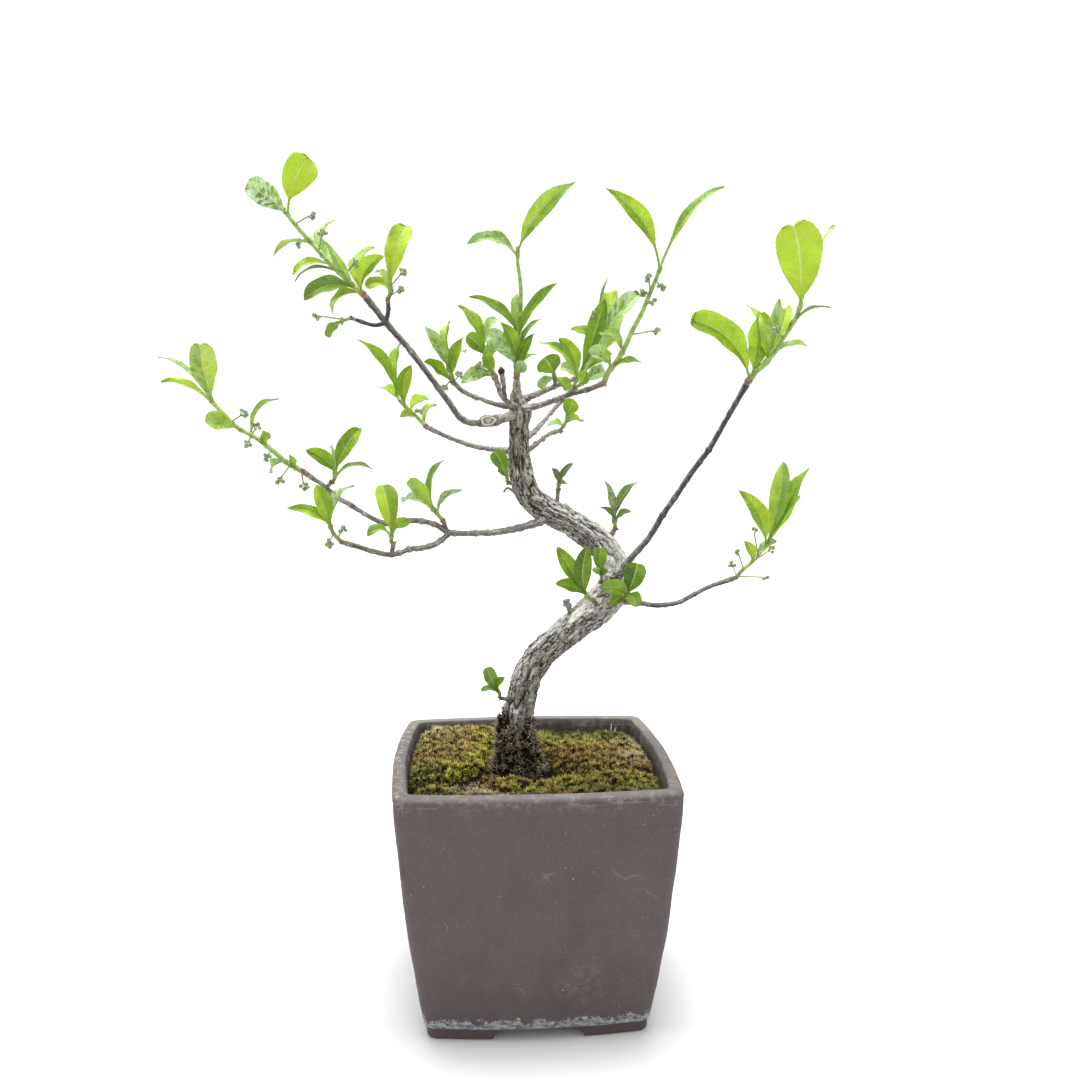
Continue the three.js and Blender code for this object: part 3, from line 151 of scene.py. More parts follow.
# %% The green shoots
GROWS_ON = {"left_tip": "left_upper", "low_left_tip": "left_lower"}
SHOOTS = {
    "left_tip": ((1, 0.7), [(-91.5, 205.5, -4), (-96, 209.5, -3), (-103, 215, -1), (-108.5, 218, 0),
        (-115.5, 225, 2), (-118.5, 228.5, 3)],
        [(0.95, -121.5, 249.5, -3, 10.5, 10, 12), (0.98, -137, 245, 12, 8, 55, 20),
            (0.98, -136, 235.5, -9, 7, 62, 20), (0.65, -120.5, 221, -8, 8, 25, 20),
            (0.55, -94, 229.5, 8, 7, -55, 25), (0.1, -90, 208, -17, 7, 20, 30),
            (0.2, -97, 201.5, 6, 5, 50, 20), (0.4, -99.5, 217, -12, 6, 20, 30)],
        [(0.75, -106, 224, -3), (0.55, -101.5, 219.5, 2), (0.55, -106, 211.5, -4),
            (0.35, -99, 206.5, -6), (0.15, -95, 198, -8), (0.05, -85, 195.5, -2)]),
    "left_inner": ((0.8, 0.6), [(-74, 199, -10), (-73.5, 202, -11)],
        [(0.8, -84, 210, -19, 6, 20, 20), (0.95, -63.5, 218.5, -4, 7, -15, 20),
            (0.65, -60, 203.5, -16, 7, -68, 20), (0.85, -74, 210.5, 2, 6, 30, 20)],
        []),
    "low_left_tip": ((0.8, 0.6), [(-74.5, 178.5, -37), (-76, 182, -38)],
        [(0.9, -80.5, 197, -42, 6.5, 15, 20), (0.95, -67, 197, -29, 6.5, -40, 20),
            (0.95, -91.5, 188.5, -46, 6, 30, 20)],
        [(0.35, -71, 181, -41), (0.6, -77, 174.5, -42)]),
    "left_middle": ((0.8, 0.6), [(-53, 175, -29), (-53, 178, -29)],
        [(0.95, -56, 197, -25, 7.5, 5, 15), (0.9, -62, 178, -37, 5, 60, 20),
            (0.9, -46.5, 182.5, -36, 5, -50, 20)],
        []),
    "fork": ((0.8, 0.6), [(-34.5, 184.5, -16), (-37.5, 188, -16)],
        [(0.95, -33.5, 206.5, -10, 6.5, -50, 20), (0.98, -46.5, 198.5, -20, 6.5, 25, 20),
            (0.9, -48.5, 191, -6, 7, 60, 20), (0.65, -26.5, 195, -24, 6, -45, 20)],
        []),
    "back_left": ((0.9, 0.6), [(-42, 221.5, 26), (-46.5, 225.5, 28), (-50, 230, 30), (-50, 234.5, 31)],
        [(0.85, -64, 251, 24, 6, 30, 25), (0.95, -48.5, 250.5, 39, 6, -50, 20),
            (0.55, -45, 241.5, 20, 7, -10, 30), (0.7, -56.5, 233.5, 38, 6, 50, 20),
            (0.2, -49, 222.5, 17, 5, 50, 25), (0.1, -35.5, 227, 32, 4.5, -50, 25),
            (0.45, -38.5, 229, 37, 6, -40, 20)],
        [(0.4, -41.5, 224.5, 20)]),
    "high_left": ((1.1, 0.7), [(-66.5, 271, -5), (-70.5, 275, -4), (-75, 279.5, -3), (-80, 285, -1),
        (-85, 290.5, 0), (-90, 297, 2)],
        [(0.95, -103.5, 306, -4, 8.5, 10, 15), (0.95, -80.5, 316, 0, 12.5, 5, 12),
            (0.65, -94.5, 280.5, -12, 6.5, 55, 20), (0.4, -87.5, 274.5, -14, 7, 50, 20),
            (0.3, -87, 272, 5, 6, 60, 20), (0.1, -83.5, 265.5, -15, 8, 30, 25),
            (0.15, -83, 289.5, 9, 7, 40, 20), (0.1, -75, 286, -16, 8, 10, 20),
            (0.05, -58, 284.5, 5, 7, -40, 20), (0.05, -54.5, 281, -16, 6.5, -30, 20),
            (0.5, -72.5, 294, 8, 6, -60, 20), (0.05, -74, 260.5, 6, 6, 60, 25)],
        [(0.85, -79.5, 296, -3), (0.7, -85.5, 285, 4), (0.25, -64.5, 279, -13),
            (0.55, -76.5, 290, -8)]),
    "high_inner": ((0.8, 0.6), [(-52, 268, -11), (-52, 270.5, -11)],
        [(0.9, -46, 292.5, -6, 9, -15, 15), (0.7, -61, 270, -18, 5, 50, 20),
            (0.65, -57.5, 275.5, -1, 5, 40, 20)],
        [(0.95, -47, 276, -17), (0.3, -48, 269.5, -16)]),
    "high_outer": ((0.6, 0.5), [(-68.5, 258, -13), (-70, 257.5, -14)],
        [(0.9, -75, 251.5, -17, 5, 40, 20)],
        [(0.7, -80, 259.5, -18)]),
    "front_left": ((0.9, 0.6), [(-30, 238.5, 9), (-31, 241, 8), (-31, 246.5, 7)],
        [(0.5, -39.5, 256, 2, 7, 25, 20), (0.95, -30.5, 257.5, 13, 6, -50, 20),
            (0.2, -25.5, 252, 4, 6.5, -25, 20), (0.05, -39.5, 243, 1, 7, 35, 20),
            (0.45, -36.5, 249, 15, 6, 30, 20), (0.6, -24.5, 246.5, 16, 6, -40, 20)],
        [(0.05, -26.5, 238.5, 3), (0.2, -32.5, 233, 4)]),
    "crown_left": ((0.9, 0.6), [(-15, 240, -10), (-17, 244, -10), (-18, 249, -10)],
        [(0.7, -24, 252.5, -15, 7.5, 15, 15), (0.95, -27, 263.5, -7, 6.5, 35, 20),
            (0.15, -17, 247.5, -19, 6, -10, 20), (0.1, -26, 235, -20, 7, 30, 20),
            (0.45, -11.5, 251, -18, 6, -25, 20), (0.9, -13, 259, -9, 6.5, -40, 20)],
        [(0.2, -20, 241.5, -17)]),
    "crown": ((1.1, 0.6), [(-5.5, 243, 2), (-5.5, 248.5, 3), (-4.5, 254, 4), (-4, 263.5, 5),
        (-4, 271.5, 6), (-5, 279.5, 7), (-5, 284, 7)],
        [(0.98, 16.5, 309, 1, 9, -15, 18), (0.95, -23.5, 286.5, 3, 8, 52, 20),
            (0.1, -17.5, 253.5, 2, 9, 10, 15), (0.35, -23, 267, 6, 8, 35, 20),
            (0.3, -5.5, 268.5, 14, 8, -30, 20), (0.3, 10, 272.5, -5, 7.5, -35, 20),
            (0.05, 1, 253.5, -6, 7, -15, 20), (0.05, 2, 246, 9, 5.5, -50, 20),
            (0.05, -2, 241.5, -7, 6, -10, 10), (0.15, -11.5, 257.5, -6, 7, 25, 20),
            (0.2, 3.5, 259, 12, 6.5, -30, 20)],
        []),
    "right_spur": ((0.8, 0.6), [(8.7, 237.5, 6.5), (8.3, 239, 6)],
        [(0.8, 5, 244.5, 2, 10, 5, 8), (0.4, 13.5, 232.5, 4, 6, -45, 20),
            (0.4, 3.5, 233, 3, 5, 45, 20)],
        []),
    "right_inner": ((1, 0.6), [(19.5, 240.5, 18), (22, 245, 19), (25, 250, 19), (27, 255, 19)],
        [(0.15, 27.5, 266.5, 12, 8.5, -15, 15), (0.05, 10.5, 251.5, 12, 7, 20, 20),
            (0.05, 3.5, 250.5, 24, 6, 40, 20), (0.5, 27.5, 274.5, 24, 6.5, -55, 20),
            (0.75, 41, 268.5, 14, 9, -25, 20), (0.98, 30.5, 269.5, 27, 8, -10, 20),
            (0.7, 15, 255, 25, 6, 40, 20)],
        [(0.95, 23.5, 261.5, 12)]),
    "right_tip": ((1.1, 0.7), [(29, 239, -21), (32.5, 243.5, -22), (35.5, 249, -23), (38, 254.5, -24),
        (41.5, 261, -25), (44, 267, -26), (46.5, 273, -27), (48.5, 278, -28)],
        [(0.98, 28, 306.5, -34, 8.5, 20, 18), (0.98, 72, 308.5, -20, 7, -40, 20),
            (0.15, 41.5, 243, -28, 6, -50, 20), (0.15, 22, 246.5, -29, 6.5, 35, 20),
            (0.3, 26.5, 253.5, -14, 6, 45, 20)],
        [(0.8, 44, 275, -31), (0.7, 46.5, 266, -31), (0.45, 48, 255, -31), (0.9, 49.5, 270, -23),
            (0.75, 41.5, 269.5, -24)]),
    "right_under": ((0.7, 0.6), [(18, 234.2, -17), (19.5, 235.5, -17.5)],
        [(0.9, 28, 239, -12, 7, -25, 20), (0.7, 20.5, 239.5, -23, 5.5, -10, 20)],
        []),
    "back_right": ((0.9, 0.6), [(15, 233, 30), (18.5, 237.5, 32), (23, 243, 34)],
        [(0.95, 34.5, 262.5, 28, 11, -20, 18), (0.95, 25, 256, 41, 7, -40, 20),
            (0.55, 11, 241, 34, 6, 40, 20), (0.7, 30.5, 246.5, 38, 7, -40, 20)],
        []),
    "back_low": ((0.8, 0.6), [(12.5, 219.5, 26), (13.5, 222.5, 27)],
        [(0.95, 16, 229, 23, 7, -5, 15), (0.55, 18.5, 221, 32, 6, -45, 20),
            (0.45, 6.5, 219, 31, 5, 50, 20)],
        []),
    "far_right": ((1.2, 0.8), [(85.5, 239.5, -19), (89, 242.5, -19), (91, 245, -19), (93.5, 248.5, -18),
        (96, 252.5, -18), (98, 255.5, -17), (100.5, 259.5, -17), (102.5, 265, -16)],
        [(0.05, 60.5, 259, -26, 10.5, 25, 25), (0.3, 87, 261.5, -14, 8, -15, 20),
            (0.1, 85.5, 261, -29, 7, -35, 25), (0.3, 94, 267, -25, 7, -30, 20),
            (0.45, 97.5, 265, -8, 7, -20, 20), (0.05, 82.5, 265, -6, 7, 50, 20),
            (0.95, 98.5, 295.5, -22, 17, 5, 12), (0.98, 113.5, 295, -7, 9, -60, 20),
            (0.8, 114, 264, -20, 6, -65, 20), (0.4, 105.5, 249.5, -26, 6.5, -55, 20)],
        [(0.6, 92.5, 255.5, -26)]),
    "low_right": ((1, 0.7), [(82, 163.5, 30), (85, 166, 31), (88, 169, 32), (91.5, 173.5, 34)],
        [(0.95, 80, 194.5, 29, 8, 15, 20), (0.98, 97, 205.5, 33, 8.5, -10, 20),
            (0.98, 106.5, 203.5, 28, 7.5, -35, 20), (0.95, 104, 192.5, 41, 7, -40, 20),
            (0.5, 82.5, 174.5, 25, 5, 20, 25), (0.6, 95, 175, 36, 5.5, -40, 20)],
        [(0.7, 86, 179.5, 27), (0.3, 80, 171, 25), (0.1, 77.5, 166.5, 33), (0.5, 94, 172, 26),
            (0.1, 92, 160.5, 23)]),
    "foot": ((0.7, 0.6), [(-12.5, 116.5, -7), (-14, 118.5, -8)],
        [(0.8, -17.5, 126.5, -10, 5.5, 10, 12), (0.7, -10.5, 122.5, -12, 3.5, -40, 15),
            (0.5, -19.5, 117.5, -12, 3.5, 50, 15)],
        []),
    "bend_left": ((0.8, 0.6), [(23, 152.5, -13), (21, 154.5, -14)],
        [(0.9, 10, 173, -16, 6.5, 15, 20), (0.9, 21.5, 173, -19, 7.5, -5, 20),
            (0.8, 9.5, 159, -17, 6, 35, 20)],
        []),
    "bend_middle": ((0.6, 0.5), [(27, 161, -11), (26.5, 163.5, -12)],
        [(0.85, 26.5, 172.5, -12, 5.5, 0, 12), (0.6, 23.5, 164, -15, 3, 20, 20),
            (0.6, 29, 164, -15, 3, -20, 20)],
        []),
    "bend_right": ((0.7, 0.6), [(36.5, 153.5, -13), (37.5, 155, -14)],
        [(0.85, 41, 166.5, -15, 8.5, -10, 12), (0.6, 27.5, 157, -20, 6.5, 20, 20),
            (0.85, 40.5, 149.5, -22, 6, -20, 20), (0.4, 31, 150, -20, 5, 30, 20)],
        []),
    "trunk_left": ((0.7, 0.6), [(-9.2, 199.5, -2), (-9.5, 201, -2.5)],
        [(0.9, -14, 209.5, -3, 6.5, 10, 15), (0.65, -11.5, 204, -8, 4, -20, 15)],
        []),
    "trunk_back": ((0.7, 0.6), [(10.2, 195.5, 9.6), (10.5, 197.5, 10)],
        [(0.85, 8, 203, 6, 5, 20, 20), (0.95, 16, 205, 12, 5, -20, 20),
            (0.85, 13.5, 197, 4, 3.5, -20, 20)],
        []),
    "knob": ((0.7, 0.6), [(32, 181.5, 2.6), (31.8, 184, 3)],
        [(0.85, 28.5, 198, 0, 5.5, 20, 20), (0.9, 40.5, 198, 6, 6, -25, 20),
            (0.75, 26.5, 188, -3, 4, 40, 20), (0.65, 38, 186.5, -3, 5, -40, 20)],
        []),
}

# %% [markdown]
# No two leaves look alike. `tone` is how light a shoot's green is. The other traits hold for single
# leaves, by their number on the shoot, or for `ALL` the others: how strongly a pale, painted sheen
# streaks the leaf, how much duller it is, how much brighter its green is, which on some leaves is
# painted light that stands in for light shining through them, how much narrower than written, how
# plump at its tip, how long its stalk and how deep the notch of its tip.

# %% What is special about each shoot and its leaves
ALL = -1
TRAITS = {
    "left_tip": dict(tone=0.65, pale={0: 0.3, 3: 0.2}, dull={1: 0.4, 4: 0.5}, bright={0: -0.1},
        narrow={0: 1, 1: 0.4, 2: 0.7, 4: 0.55, 5: 0.6}, plump={0: 0.5, 3: 0.5},
        stalk={0: 0.16, 3: 0.18, 4: 0.16}, notch={0: 0.03}),
    "left_inner": dict(tone=0.5, pale={1: 0, 3: 0.6}, dull={2: 0.5}, narrow={2: 0.5}),
    "low_left_tip": dict(tone=0.5, dull={1: 0.4}, narrow={1: 0.65, 2: 0.75}),
    "left_middle": dict(tone=0.5, pale={0: 0, 1: 0.1, 2: 0}, narrow={0: 1.1}, plump={0: 0.5, 1: 0.4}),
    "fork": dict(tone=0.5, pale={1: 0.2, 2: 0.5}, dull={0: 0.4, 3: 0.5}, narrow={0: 0.65, 3: 0.6},
        plump={1: 0.5}),
    "back_left": dict(tone=0.6),
    "high_left": dict(tone=0.8, pale={0: 1, 5: 0, 6: 0.7}, dull={2: 0.4, 4: 0.8, 5: 0.3},
        bright={0: -0.8, 1: 0.45, 5: -0.2, 6: 0.25},
        narrow={0: 1.15, 2: 0.45, 3: 0.65, 4: 0.35, 7: 0.5}, plump={0: 0.5, 1: 0.5}, stalk={1: 0.24}),
    "high_inner": dict(tone=0.55, pale={0: 0}, bright={0: 0.3}, plump={0: 0.5}),
    "high_outer": dict(tone=0.4, dull={ALL: 0.3}),
    "front_left": dict(tone=0.5, pale={0: 0.6}, narrow={ALL: 0.85}),
    "crown_left": dict(tone=0.48, pale={5: 0.5}, narrow={ALL: 0.85}),
    "crown": dict(tone=0.48, pale={0: 0.15, 1: 0.5, 2: 0.9, 3: 0.1}, narrow={ALL: 0.86, 3: 0.6, 4: 0.62,
        5: 0.66, 6: 0.7, 7: 0.5, 10: 0.45}, plump={2: 0.5}),
    "right_spur": dict(tone=0.45),
    "right_inner": dict(tone=0.6, pale={0: 0, 4: 0.9}, dull={3: 0.7}, bright={0: -0.25},
        narrow={ALL: 0.88, 3: 0.45}, plump={0: 0.4, 4: 0.5}),
    "right_tip": dict(tone=0.62, pale={0: 0, 1: 0.1}, dull={2: 0.4}, narrow={0: 0.8, 1: 0.65, 2: 0.6},
        stalk={0: 0.24, 1: 0.2}),
    "right_under": dict(tone=0.5),
    "back_right": dict(tone=0.7),
    "back_low": dict(tone=0.6),
    "far_right": dict(tone=0.75, pale={6: 0, 7: 0.7}, dull={8: 0.8}, bright={6: 0.15},
        narrow={0: 1.1, 8: 0.4, 9: 0.65}, plump={0: 0.5, 6: 0.5}, notch={6: 0.05}),
    "low_right": dict(tone=0.55, pale={1: 0.15, 2: 0.1}, bright={1: -0.12, 2: -0.05},
        narrow={1: 1.05, 2: 1.15}, plump={1: 0.4}),
    "foot": dict(tone=0.38, pale={0: 0.1, 1: 0, 2: 0.1}, dull={0: 0.35}),
    "bend_left": dict(tone=0.3, plump={0: 0.4}),
    "bend_middle": dict(tone=0.22),
    "bend_right": dict(tone=0.22, pale={0: 0, 1: 0, 2: 0, 3: 0}),
    "trunk_left": dict(tone=0.22, pale={0: 0}),
    "trunk_back": dict(tone=0.2, dull={ALL: 1}, narrow={ALL: 0.62}),
    "knob": dict(tone=0.3, dull={ALL: 0.7}, narrow={ALL: 0.7}),
}

# %% [markdown]
# ## Tools
#
# A few tools do all the modelling. `seen` finds the real place of a written one. `spline` draws a
# smooth curve through places, `tube` makes a round limb along such a curve, and `Shape` gathers
# corners and faces into one object. Each corner can carry marks, numbers such as how deep in a crack
# it lies, and the materials read them.

# %% Places and curves
EYE = np.array([-24.0, -400.0, 217.0])


def pick(fine):
    return fine


def seen(places):
    """The real places, of which each lies on the line from the eye through its written x and z."""
    x, z, y = np.array([place[:3] for place in places], float).T
    flat = np.stack([x, 0 * x, z], 1)
    return EYE + (flat - EYE) * ((y - EYE[1]) / -EYE[1])[:, None]


def unit(vectors):
    """The same directions with length 1."""
    return vectors / np.linalg.norm(vectors, axis=-1, keepdims=True)


def circle(count):
    """Angles in even steps once round."""
    return np.linspace(0, 2 * math.pi, count, endpoint=False)


def smooth(low, high, value):
    """Rises softly from 0 at low to 1 at high."""
    share = np.clip((value - low) / (high - low), 0, 1)
    return share * share * (3 - 2 * share)


def bell(value):
    """A soft hill, 1 at 0 and next to nothing beyond 2."""
    return np.exp(-(value**2))


def spline(points, spacing):
    """A smooth curve through the points in even steps: the places, the number of the point that each
    has reached, and the length so far."""
    p = np.asarray(points, float)
    p = np.vstack([2 * p[0] - p[1], p, 2 * p[-1] - p[-2]])
    pull = np.linalg.norm(np.diff(p, axis=0), axis=1) ** 0.5
    t = np.linspace(0, 1, 24, endpoint=False)[:, None]
    places, reached = [], []
    for i in range(1, len(p) - 2):
        a, b, c, d = p[i - 1 : i + 3]
        ab, bc, cd = pull[i - 1 : i + 2]
        leave = bc * ((b - a) / ab - (c - a) / (ab + bc)) + c - b
        arrive = bc * ((d - c) / cd - (d - b) / (bc + cd)) + c - b
        bend = 3 * (c - b) - 2 * leave - arrive
        places.append(b + leave * t + bend * t**2 + (2 * (b - c) + leave + arrive) * t**3)
        reached.append(i - 1 + t[:, 0])
    places = np.vstack([*places, p[-2:-1]])
    reached = np.append(np.concatenate(reached), len(points) - 1)
    length = np.append(0, np.cumsum(np.linalg.norm(np.diff(places, axis=0), axis=1)))
    even = np.linspace(0, length[-1], max(2, round(length[-1] / spacing)) + 1)
    path = np.stack([np.interp(even, length, axis) for axis in places.T], 1)
    return path, np.interp(even, length, reached), even


# %% Noise: soft random hills in space, the same on every run
SHUFFLE = np.random.default_rng(5).permutation(256)
SLOPES = unit(np.random.default_rng(6).normal(size=(256, 3)))


def noise(x, y, z):
    point = np.stack(np.broadcast_arrays(x, y, z), -1).astype(float)
    cell = np.floor(point).astype(int)
    part = point - cell
    fade = part**3 * (part * (part * 6 - 15) + 10)
    total = 0
    for corner in np.ndindex(2, 2, 2):
        step = np.array(corner)
        i, j, k = np.moveaxis(cell + step, -1, 0)
        slope = SLOPES[SHUFFLE[(SHUFFLE[(SHUFFLE[i & 255] + j) & 255] + k) & 255]]
        weight = np.prod(np.where(step, fade, 1 - fade), axis=-1)
        total = total + weight * np.sum(slope * (part - step), axis=-1)
    return 1.6 * total


# %% Corners and faces
def grid(rows, columns, wrap=False):
    """The faces between rows of corners. With wrap, the last column joins the first."""
    r, c = np.meshgrid(np.arange(rows - 1), np.arange(columns - (not wrap)), indexing="ij")
    a, right = r * columns + c, r * columns + (c + 1) % columns
    return np.stack([a, right, right + columns, a + columns], -1).reshape(-1, 4)


def close_rings(rings, first, last, flip=False):
    """A closed body from rings of corners and the middles of its first and last end. The rings turn
    counterclockwise for one who looks back from the last, or clockwise with flip."""
    count, total = rings.shape[1], rings.size // 3
    corners = np.vstack([rings.reshape(-1, 3), first, last])
    faces = [tuple(face) for face in grid(len(rings), count, wrap=True)]
    start = total - count
    for k in range(count):
        after = (k + 1) % count
        faces += [(total, after, k), (total + 1, start + k, start + after)]
    return corners, [face[::-1] for face in faces] if flip else faces


def outward(path, sides):
    """Directions square to a curve, some at each step, that never twist along it."""
    tangent = unit(np.gradient(path, axis=0))
    start = np.cross(tangent[0], np.eye(3)[np.argmin(abs(tangent[0]))])
    normal = [unit(np.cross(tangent[0], start))]
    for t in tangent[1:]:
        normal.append(unit(normal[-1] - t * (normal[-1] @ t)))
    angle, normal = circle(sides)[None, :, None], np.array(normal)
    return normal[:, None] * np.cos(angle) + np.cross(tangent, normal)[:, None] * np.sin(angle)


def tube(path, radius, sides):
    """A closed limb. Its radius is one number, one for each step or one for each corner."""
    radius = np.asarray(radius, float)
    radius = radius[:, None] if radius.ndim == 1 else radius
    return close_rings(path[:, None] + outward(path, sides) * radius[..., None], path[0], path[-1])


def ball(centre, radius, sides=8, rings=5):
    """A bead. The radius can differ along x, y and z."""
    turn = np.linspace(0, math.pi, rings + 1)[1:-1, None]
    angle = circle(sides)[None]
    points = [np.sin(turn) * np.cos(angle), np.sin(turn) * np.sin(angle), np.cos(turn) + 0 * angle]
    corners, faces = close_rings(np.stack(points, -1), [0, 0, 1], [0, 0, -1], flip=True)
    return np.asarray(centre) + corners * radius, faces


def sheet(upper, lower):
    """A closed sheet from the corners of its upper and lower face, each in rows and columns."""
    rows, columns = upper.shape[:2]
    top, under, end = grid(rows, columns), rows * columns, (rows - 1) * columns
    faces = [*top, *(top[:, ::-1] + under)]
    for a in range(0, end, columns):
        b, c, d = a + columns, a + columns - 1, a + 2 * columns - 1
        faces += [(a, b, under + b, under + a), (d, c, under + c, under + d)]
    for a in range(columns - 1):
        b, c, d = a + 1, end + a, end + a + 1
        faces += [(b, a, under + a, under + b), (c, d, under + d, under + c)]
    return np.vstack([upper.reshape(-1, 3), lower.reshape(-1, 3)]), faces


# %% Shapes
class Shape:
    """Corners, faces and marks of the corners, gathered to be made into one object."""

    def __init__(self):
        self.corners, self.faces, self.materials, self.marks = [], [], [], []
        self.count = 0

    def add(self, corners, faces, material=0, **marks):
        corners = np.asarray(corners, float).reshape(-1, 3)
        self.corners.append(corners)
        self.faces += [tuple(self.count + int(i) for i in face) for face in faces]
        self.materials += [material] * len(faces)
        full = {name: np.broadcast_to(value, len(corners)) for name, value in marks.items()}
        self.marks.append((len(corners), full))
        self.count += len(corners)
        return self

    def build(self, name, *materials, inside=True):
        """Makes the object. Nothing of it reaches out of the frame's box, unless inside is False."""
        mesh = bpy.data.meshes.new(name)
        places = (np.vstack(self.corners) + MIDDLE) * MM
        if inside:
            places = np.clip(places, LOWEST, HIGHEST)
        mesh.from_pydata(places.tolist(), [], self.faces)
        mesh.polygons.foreach_set("use_smooth", [True] * len(mesh.polygons))
        for material in materials:
            mesh.materials.append(material)
        mesh.polygons.foreach_set("material_index", self.materials)
        for mark in sorted({key for _, marks in self.marks for key in marks}):
            rows = [marks.get(mark, np.zeros(count)) for count, marks in self.marks]
            write_mark(mesh, mark, np.concatenate(rows))
        mesh.update()
        made = bpy.data.objects.new(name, mesh)
        bpy.context.scene.collection.objects.link(made)
        return made


def write_mark(mesh, name, values):
    attribute = mesh.attributes.new(name, "FLOAT", "POINT")
    attribute.data.foreach_set("value", values.astype(np.float32))


def limb(path, radius, sides, **marks):
    """A shape of one limb. Its marks are one number, or one for each step or corner."""
    flat, full = np.zeros((len(path), sides)), {}
    for name, values in marks.items():
        rows = flat + values
        full[name] = np.concatenate([rows.reshape(-1), [rows[0].mean(), rows[-1].mean()]])
    return Shape().add(*tube(path, radius, sides), **full)


def settle(made):
    """Makes what an object's modifiers do part of its mesh."""
    bpy.context.view_layer.update()
    shown = made.evaluated_get(bpy.context.evaluated_depsgraph_get())
    mesh = bpy.data.meshes.new_from_object(shown)
    made.modifiers.clear()
    made.data = mesh


def hand_over(made, slot, *nodes):
    """Puts a finished piece in the frame, in place of CAD nodes where it stands for any."""
    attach(made, "root")
    if nodes:
        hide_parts(*nodes)
    made.data.calc_loop_triangles()
    print(made.name, len(made.data.loop_triangles), "triangles")


def dress(name, skin):
    """Gives a node that stays as the frame has it its material."""
    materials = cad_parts[name].data.materials
    materials.clear()
    materials.append(skin)

# %% [markdown]
# ## The wood
#
# The trunk is one tube of half-millimetre cells. The frame's slow ridges give its form, and cracks
# come from noise that is stretched along the trunk: where the noise passes through zero it draws
# lines that part and meet again, and the bark sinks there. Old bark has deep cracks, and young twigs
# are smooth with a ring and two small buds at each old leaf scar. Each corner also keeps its place on
# a straightened limb, `bark_x`, `bark_y` and `bark_z`, so that the finest cracks, which only the
# material draws, run along the limb wherever it bends.

# %% The trunk
wood = []
around = pick(112)
trunk_path, reached, run = spline(seen(TRUNK), pick(0.5))
trunk_radius = np.interp(reached, range(len(TRUNK)), [place[3] for place in TRUNK])
angle, s = circle(around)[None], run[:, None]
step = 30 * s / run[-1]
ridges = 1 + 0.06 * np.sin(3 * angle + 0.35 * step) + 0.05 * np.sin(5 * angle - 0.6 * step)
x, y = 5.2 * np.cos(angle), 5.2 * np.sin(angle)
straight = {"bark_x": x, "bark_y": y, "bark_z": s}
sway = 1.3 * noise(0.3 * x, 0.3 * y, 0.09 * s)
x, y = x + sway, y - sway
main = noise(0.36 * x, 0.36 * y, 0.09 * s)
broken = smooth(-0.35, 0.1, noise(0.3 * x + 60, 0.3 * y, 0.13 * s))
fine = noise(0.85 * x + 40, 0.85 * y, 0.27 * s)
flakes = noise(1.5 * x, 1.5 * y + 20, 0.7 * s)
rough = noise(2.6 * x, 2.6 * y + 70, 1.6 * s)
crack = broken * bell(main / 0.15) + 0.5 * (1 - broken) * bell(fine / 0.16)

# The upper trunk has long grooves. Each is where it lies round the trunk and how wide it is.
height, away = trunk_path[:, 2:], outward(trunk_path, around)
facing = np.arctan2(away[..., 0], -away[..., 1])
for middle, width in ((-2.3, 0.14), (-1.25, 0.1), (-0.3, 0.17), (0.62, 0.12), (1.9, 0.15)):
    wander = 0.3 * np.sin(height / 5 + 7 * middle) + 0.5 * noise(height / 6, middle, 0.5)
    line = facing - middle - wander + 0.5 * main
    line = np.abs((line + math.pi) % (2 * math.pi) - math.pi)
    groove = bell(line / width) * (0.8 + 0.7 * noise(height / 9, 3 * middle, 2.5))
    crack = np.maximum(crack, 1.2 * smooth(188, 197, height) * groove)
age = 1 - 0.25 * smooth(200, 228, height)
relief = age * (0.9 * crack - 0.3 * np.abs(main) - 0.25 * flakes - 0.15 * rough)
surface = trunk_radius[:, None] * ridges - relief

# Bumps of the bark, each its place, how wide and how high.
BUMPS = [(0.6, 205, -1, 1, 1.3), (1, 201, 0, 0.9, 1.8), (-8.5, 214, -1, 0.9, 0.9),
         (0, 217, -1, 1.2, 0.9), (-1, 224, -1, 1.6, 1.3), (-8, 225.5, -2, 1.4, 1),
         (1.5, 222, 1, 1.2, 1.1), (37, 160, -2, 1.3, 1), (25, 181, 4, 1.2, 0.9),
         (13, 188.5, 7, 1, 1.1), (7, 136.5, -8, 1.4, 0.7), (-9.5, 196, 3, 0.9, 1),
         (-1, 113, -4, 1.2, 0.7)]
for bump, place in zip(BUMPS, seen(BUMPS)):
    apart = trunk_path[:, None] + away * surface[..., None] - place
    surface = surface + bump[4] * np.exp(-(apart**2).sum(-1) / (2 * bump[3] ** 2))
wood.append(limb(trunk_path, surface, around, crack=np.clip(crack, 0, 1.3), young=1 - age, **straight))
print("trunk:", wood[0].count, "corners,", round(float(run[-1])), "mm long")

